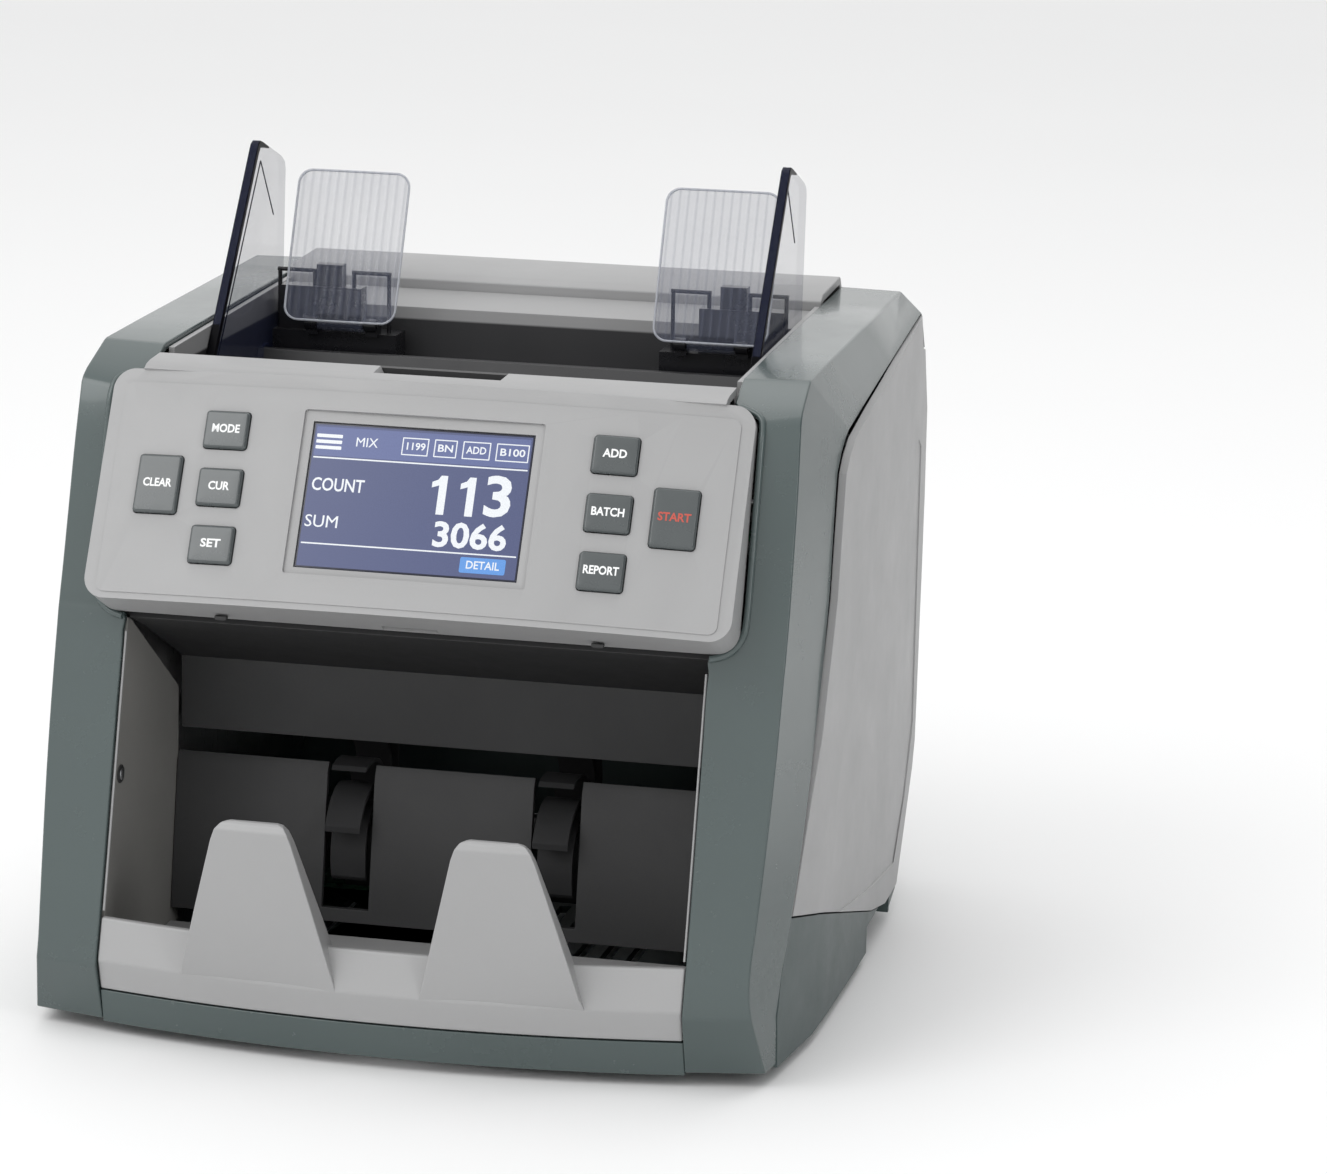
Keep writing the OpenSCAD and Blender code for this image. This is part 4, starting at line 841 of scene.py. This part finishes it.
# ---------- parts soldered on the rear face of the main board ----------
BOARD_REAR = 215.6
BOARD_CHIPS = ((-50, 150, 18, 18, 2.0), (-10, 155, 12, 12, 1.6), (25, 142, 14, 10, 1.8),
               (48, 158, 10, 8, 1.6), (0, 118, 16, 8, 1.8), (-46, 116, 10, 10, 1.5),
               (50, 112, 12, 14, 2.0))  # x, z, width, height, thickness
BOARD_PLUGS = ((-66, 172, 16), (-32, 172, 22), (16, 172, 26), (56, 172, 14),
               (-20, 101, 24))          # x, z, width
BOARD_CANS = ((-28, 133, 3.0, 6.0), (-20, 133, 3.0, 6.0), (10, 131, 2.5, 5.0),
              (36, 124, 4.0, 7.0), (61, 138, 3.0, 6.0))  # x, z, radius, height
PLUG_H = 5.0
SMALL_PARTS, SMALL_THICK = 64, 0.6


def on_board(x, z):
    """Frame of a spot on the main board's rear face, out to the rear."""
    return Matrix.Translation(at(x, BOARD_REAR, z)) @ turn(-90, "X")


for i, (x, z, w, h, t) in enumerate(BOARD_CHIPS):
    plate(f"board_chip_{i}", w, h, t, on_board(x, z), "chassis", "black_plastic", 0.3)
for i, (x, z, w) in enumerate(BOARD_PLUGS):
    plate(f"board_connector_{i}", w, 5.6, PLUG_H, on_board(x, z), "chassis", "white_plastic", 0.5)
    plate(f"board_plug_{i}", w - 2.4, 3.4, 0.1, on_board(x, z) @ raised(PLUG_H), "chassis",
          "black_plastic", 0.2)
for i, (x, z, r, h) in enumerate(BOARD_CANS):
    rings = [circle(r, 0.0), circle(r, h - 0.4), circle(r - 0.4, h)]
    can = mesh_piece(f"board_can_{i}", loft(rings))
    can.matrix_world = on_board(x, z)
    soften(can, 0.2, 2)
    finish_piece(can, "chassis", "zinc")
bm = bmesh.new()
for _ in range(SMALL_PARTS):
    x, z = random.uniform(-72, 62), random.uniform(106, 166)
    w, h = random.choice(((2.0, 1.2), (1.2, 2.0), (1.6, 0.8)))
    bmesh.ops.create_cube(bm, size=MM, matrix=on_board(x, z) @ raised(SMALL_THICK / 2)
                          @ Matrix.Diagonal((w, h, SMALL_THICK, 1.0)))
chips = mesh_piece("board_small_parts", bm, smooth=False)
finish_piece(chips, "chassis", "black_plastic")

# ---------- stage ----------
bm = bmesh.new()
bmesh.ops.create_grid(bm, x_segments=8, y_segments=8, size=6.0)
floor = mesh_piece("studio_floor", bm)
mat, nt, bsdf, coord = tree_of("pale_floor")
nt.links.new(mix_color(nt, noise(nt, coord, 2.0, 2.0), (0.86, 0.86, 0.86), (0.88, 0.88, 0.88)),
             bsdf.inputs["Base Color"])
bsdf.inputs["Roughness"].default_value = 0.85
floor.data.materials.append(mat)

# ---------- light: a white room with a darker side, and three softboxes ----------
WHITE_SIDE, DARK_SIDE = (1.0, 1.0, 1.0), (0.20, 0.205, 0.21)
ROOM_STRENGTH = 1.10
world = bpy.data.worlds.new("studio")
bpy.context.scene.world = world
world.use_nodes = True
sky = world.node_tree
room = sky.nodes["Background"]
across = split_xyz(sky, add(sky, "ShaderNodeTexCoord").outputs["Generated"])["X"]
sky.links.new(mix_color(sky, ramp(sky, across, 0.20, 0.75, 0.0, 1.0), WHITE_SIDE, DARK_SIDE),
              room.inputs["Color"])
room.inputs["Strength"].default_value = ROOM_STRENGTH


def softbox(name, place, aim, size, power):
    """A rectangular lamp, its place and size in metres and its power in watts."""
    light = bpy.data.lights.new(name, "AREA")
    light.shape = "RECTANGLE"
    light.size, light.size_y = size
    light.energy = power
    obj = linked(bpy.data.objects.new(name, light))
    obj.location = place
    obj.rotation_euler = (Vector(aim) - Vector(place)).to_track_quat("-Z", "Y").to_euler()


softbox("key_light", (-1.1, -1.3, 1.7), (0, 0, 0.12), (1.2, 1.2), 13.0)
softbox("edge_light", (1.25, -1.0, 0.75), (0, 0, 0.12), (0.28, 0.9), 4.5)
softbox("top_light", (0.2, 0.5, 1.9), (0, 0, 0.1), (1.6, 1.2), 6.0)

# ---------- camera: degrees round, up and rolled; mm from the aim, then slid right and up ------
VIEW_AZ, VIEW_EL, VIEW_ROLL = 12.675, 13.0, 1.167
AIM = at(0, 0, 116.4)
DISTANCE, SLIDE_X, SLIDE_Z = 1429.7, 81.87, 35.95
SENSOR, LENS = 36.0, 124.93
az, el, roll = (math.radians(v) for v in (VIEW_AZ, VIEW_EL, VIEW_ROLL))
back = Vector((math.sin(az) * math.cos(el), -math.cos(az) * math.cos(el), math.sin(el)))
right = Vector((math.cos(az), math.sin(az), 0))
up = back.cross(right)
place = AIM + (back * DISTANCE + right * SLIDE_X + up * SLIDE_Z) * MM
cam_x = right * math.cos(roll) + up * math.sin(roll)
cam_y = up * math.cos(roll) - right * math.sin(roll)
camera_data = bpy.data.cameras.new("camera")
camera_data.sensor_width = SENSOR
camera_data.lens = LENS
camera_data.clip_start = 0.05
camera = linked(bpy.data.objects.new("camera", camera_data))
camera.matrix_world = Matrix.Translation(place) @ Matrix(
    (cam_x, cam_y, back)).transposed().to_4x4()
bpy.context.scene.camera = camera
bpy.context.scene.view_settings.view_transform = "Standard"
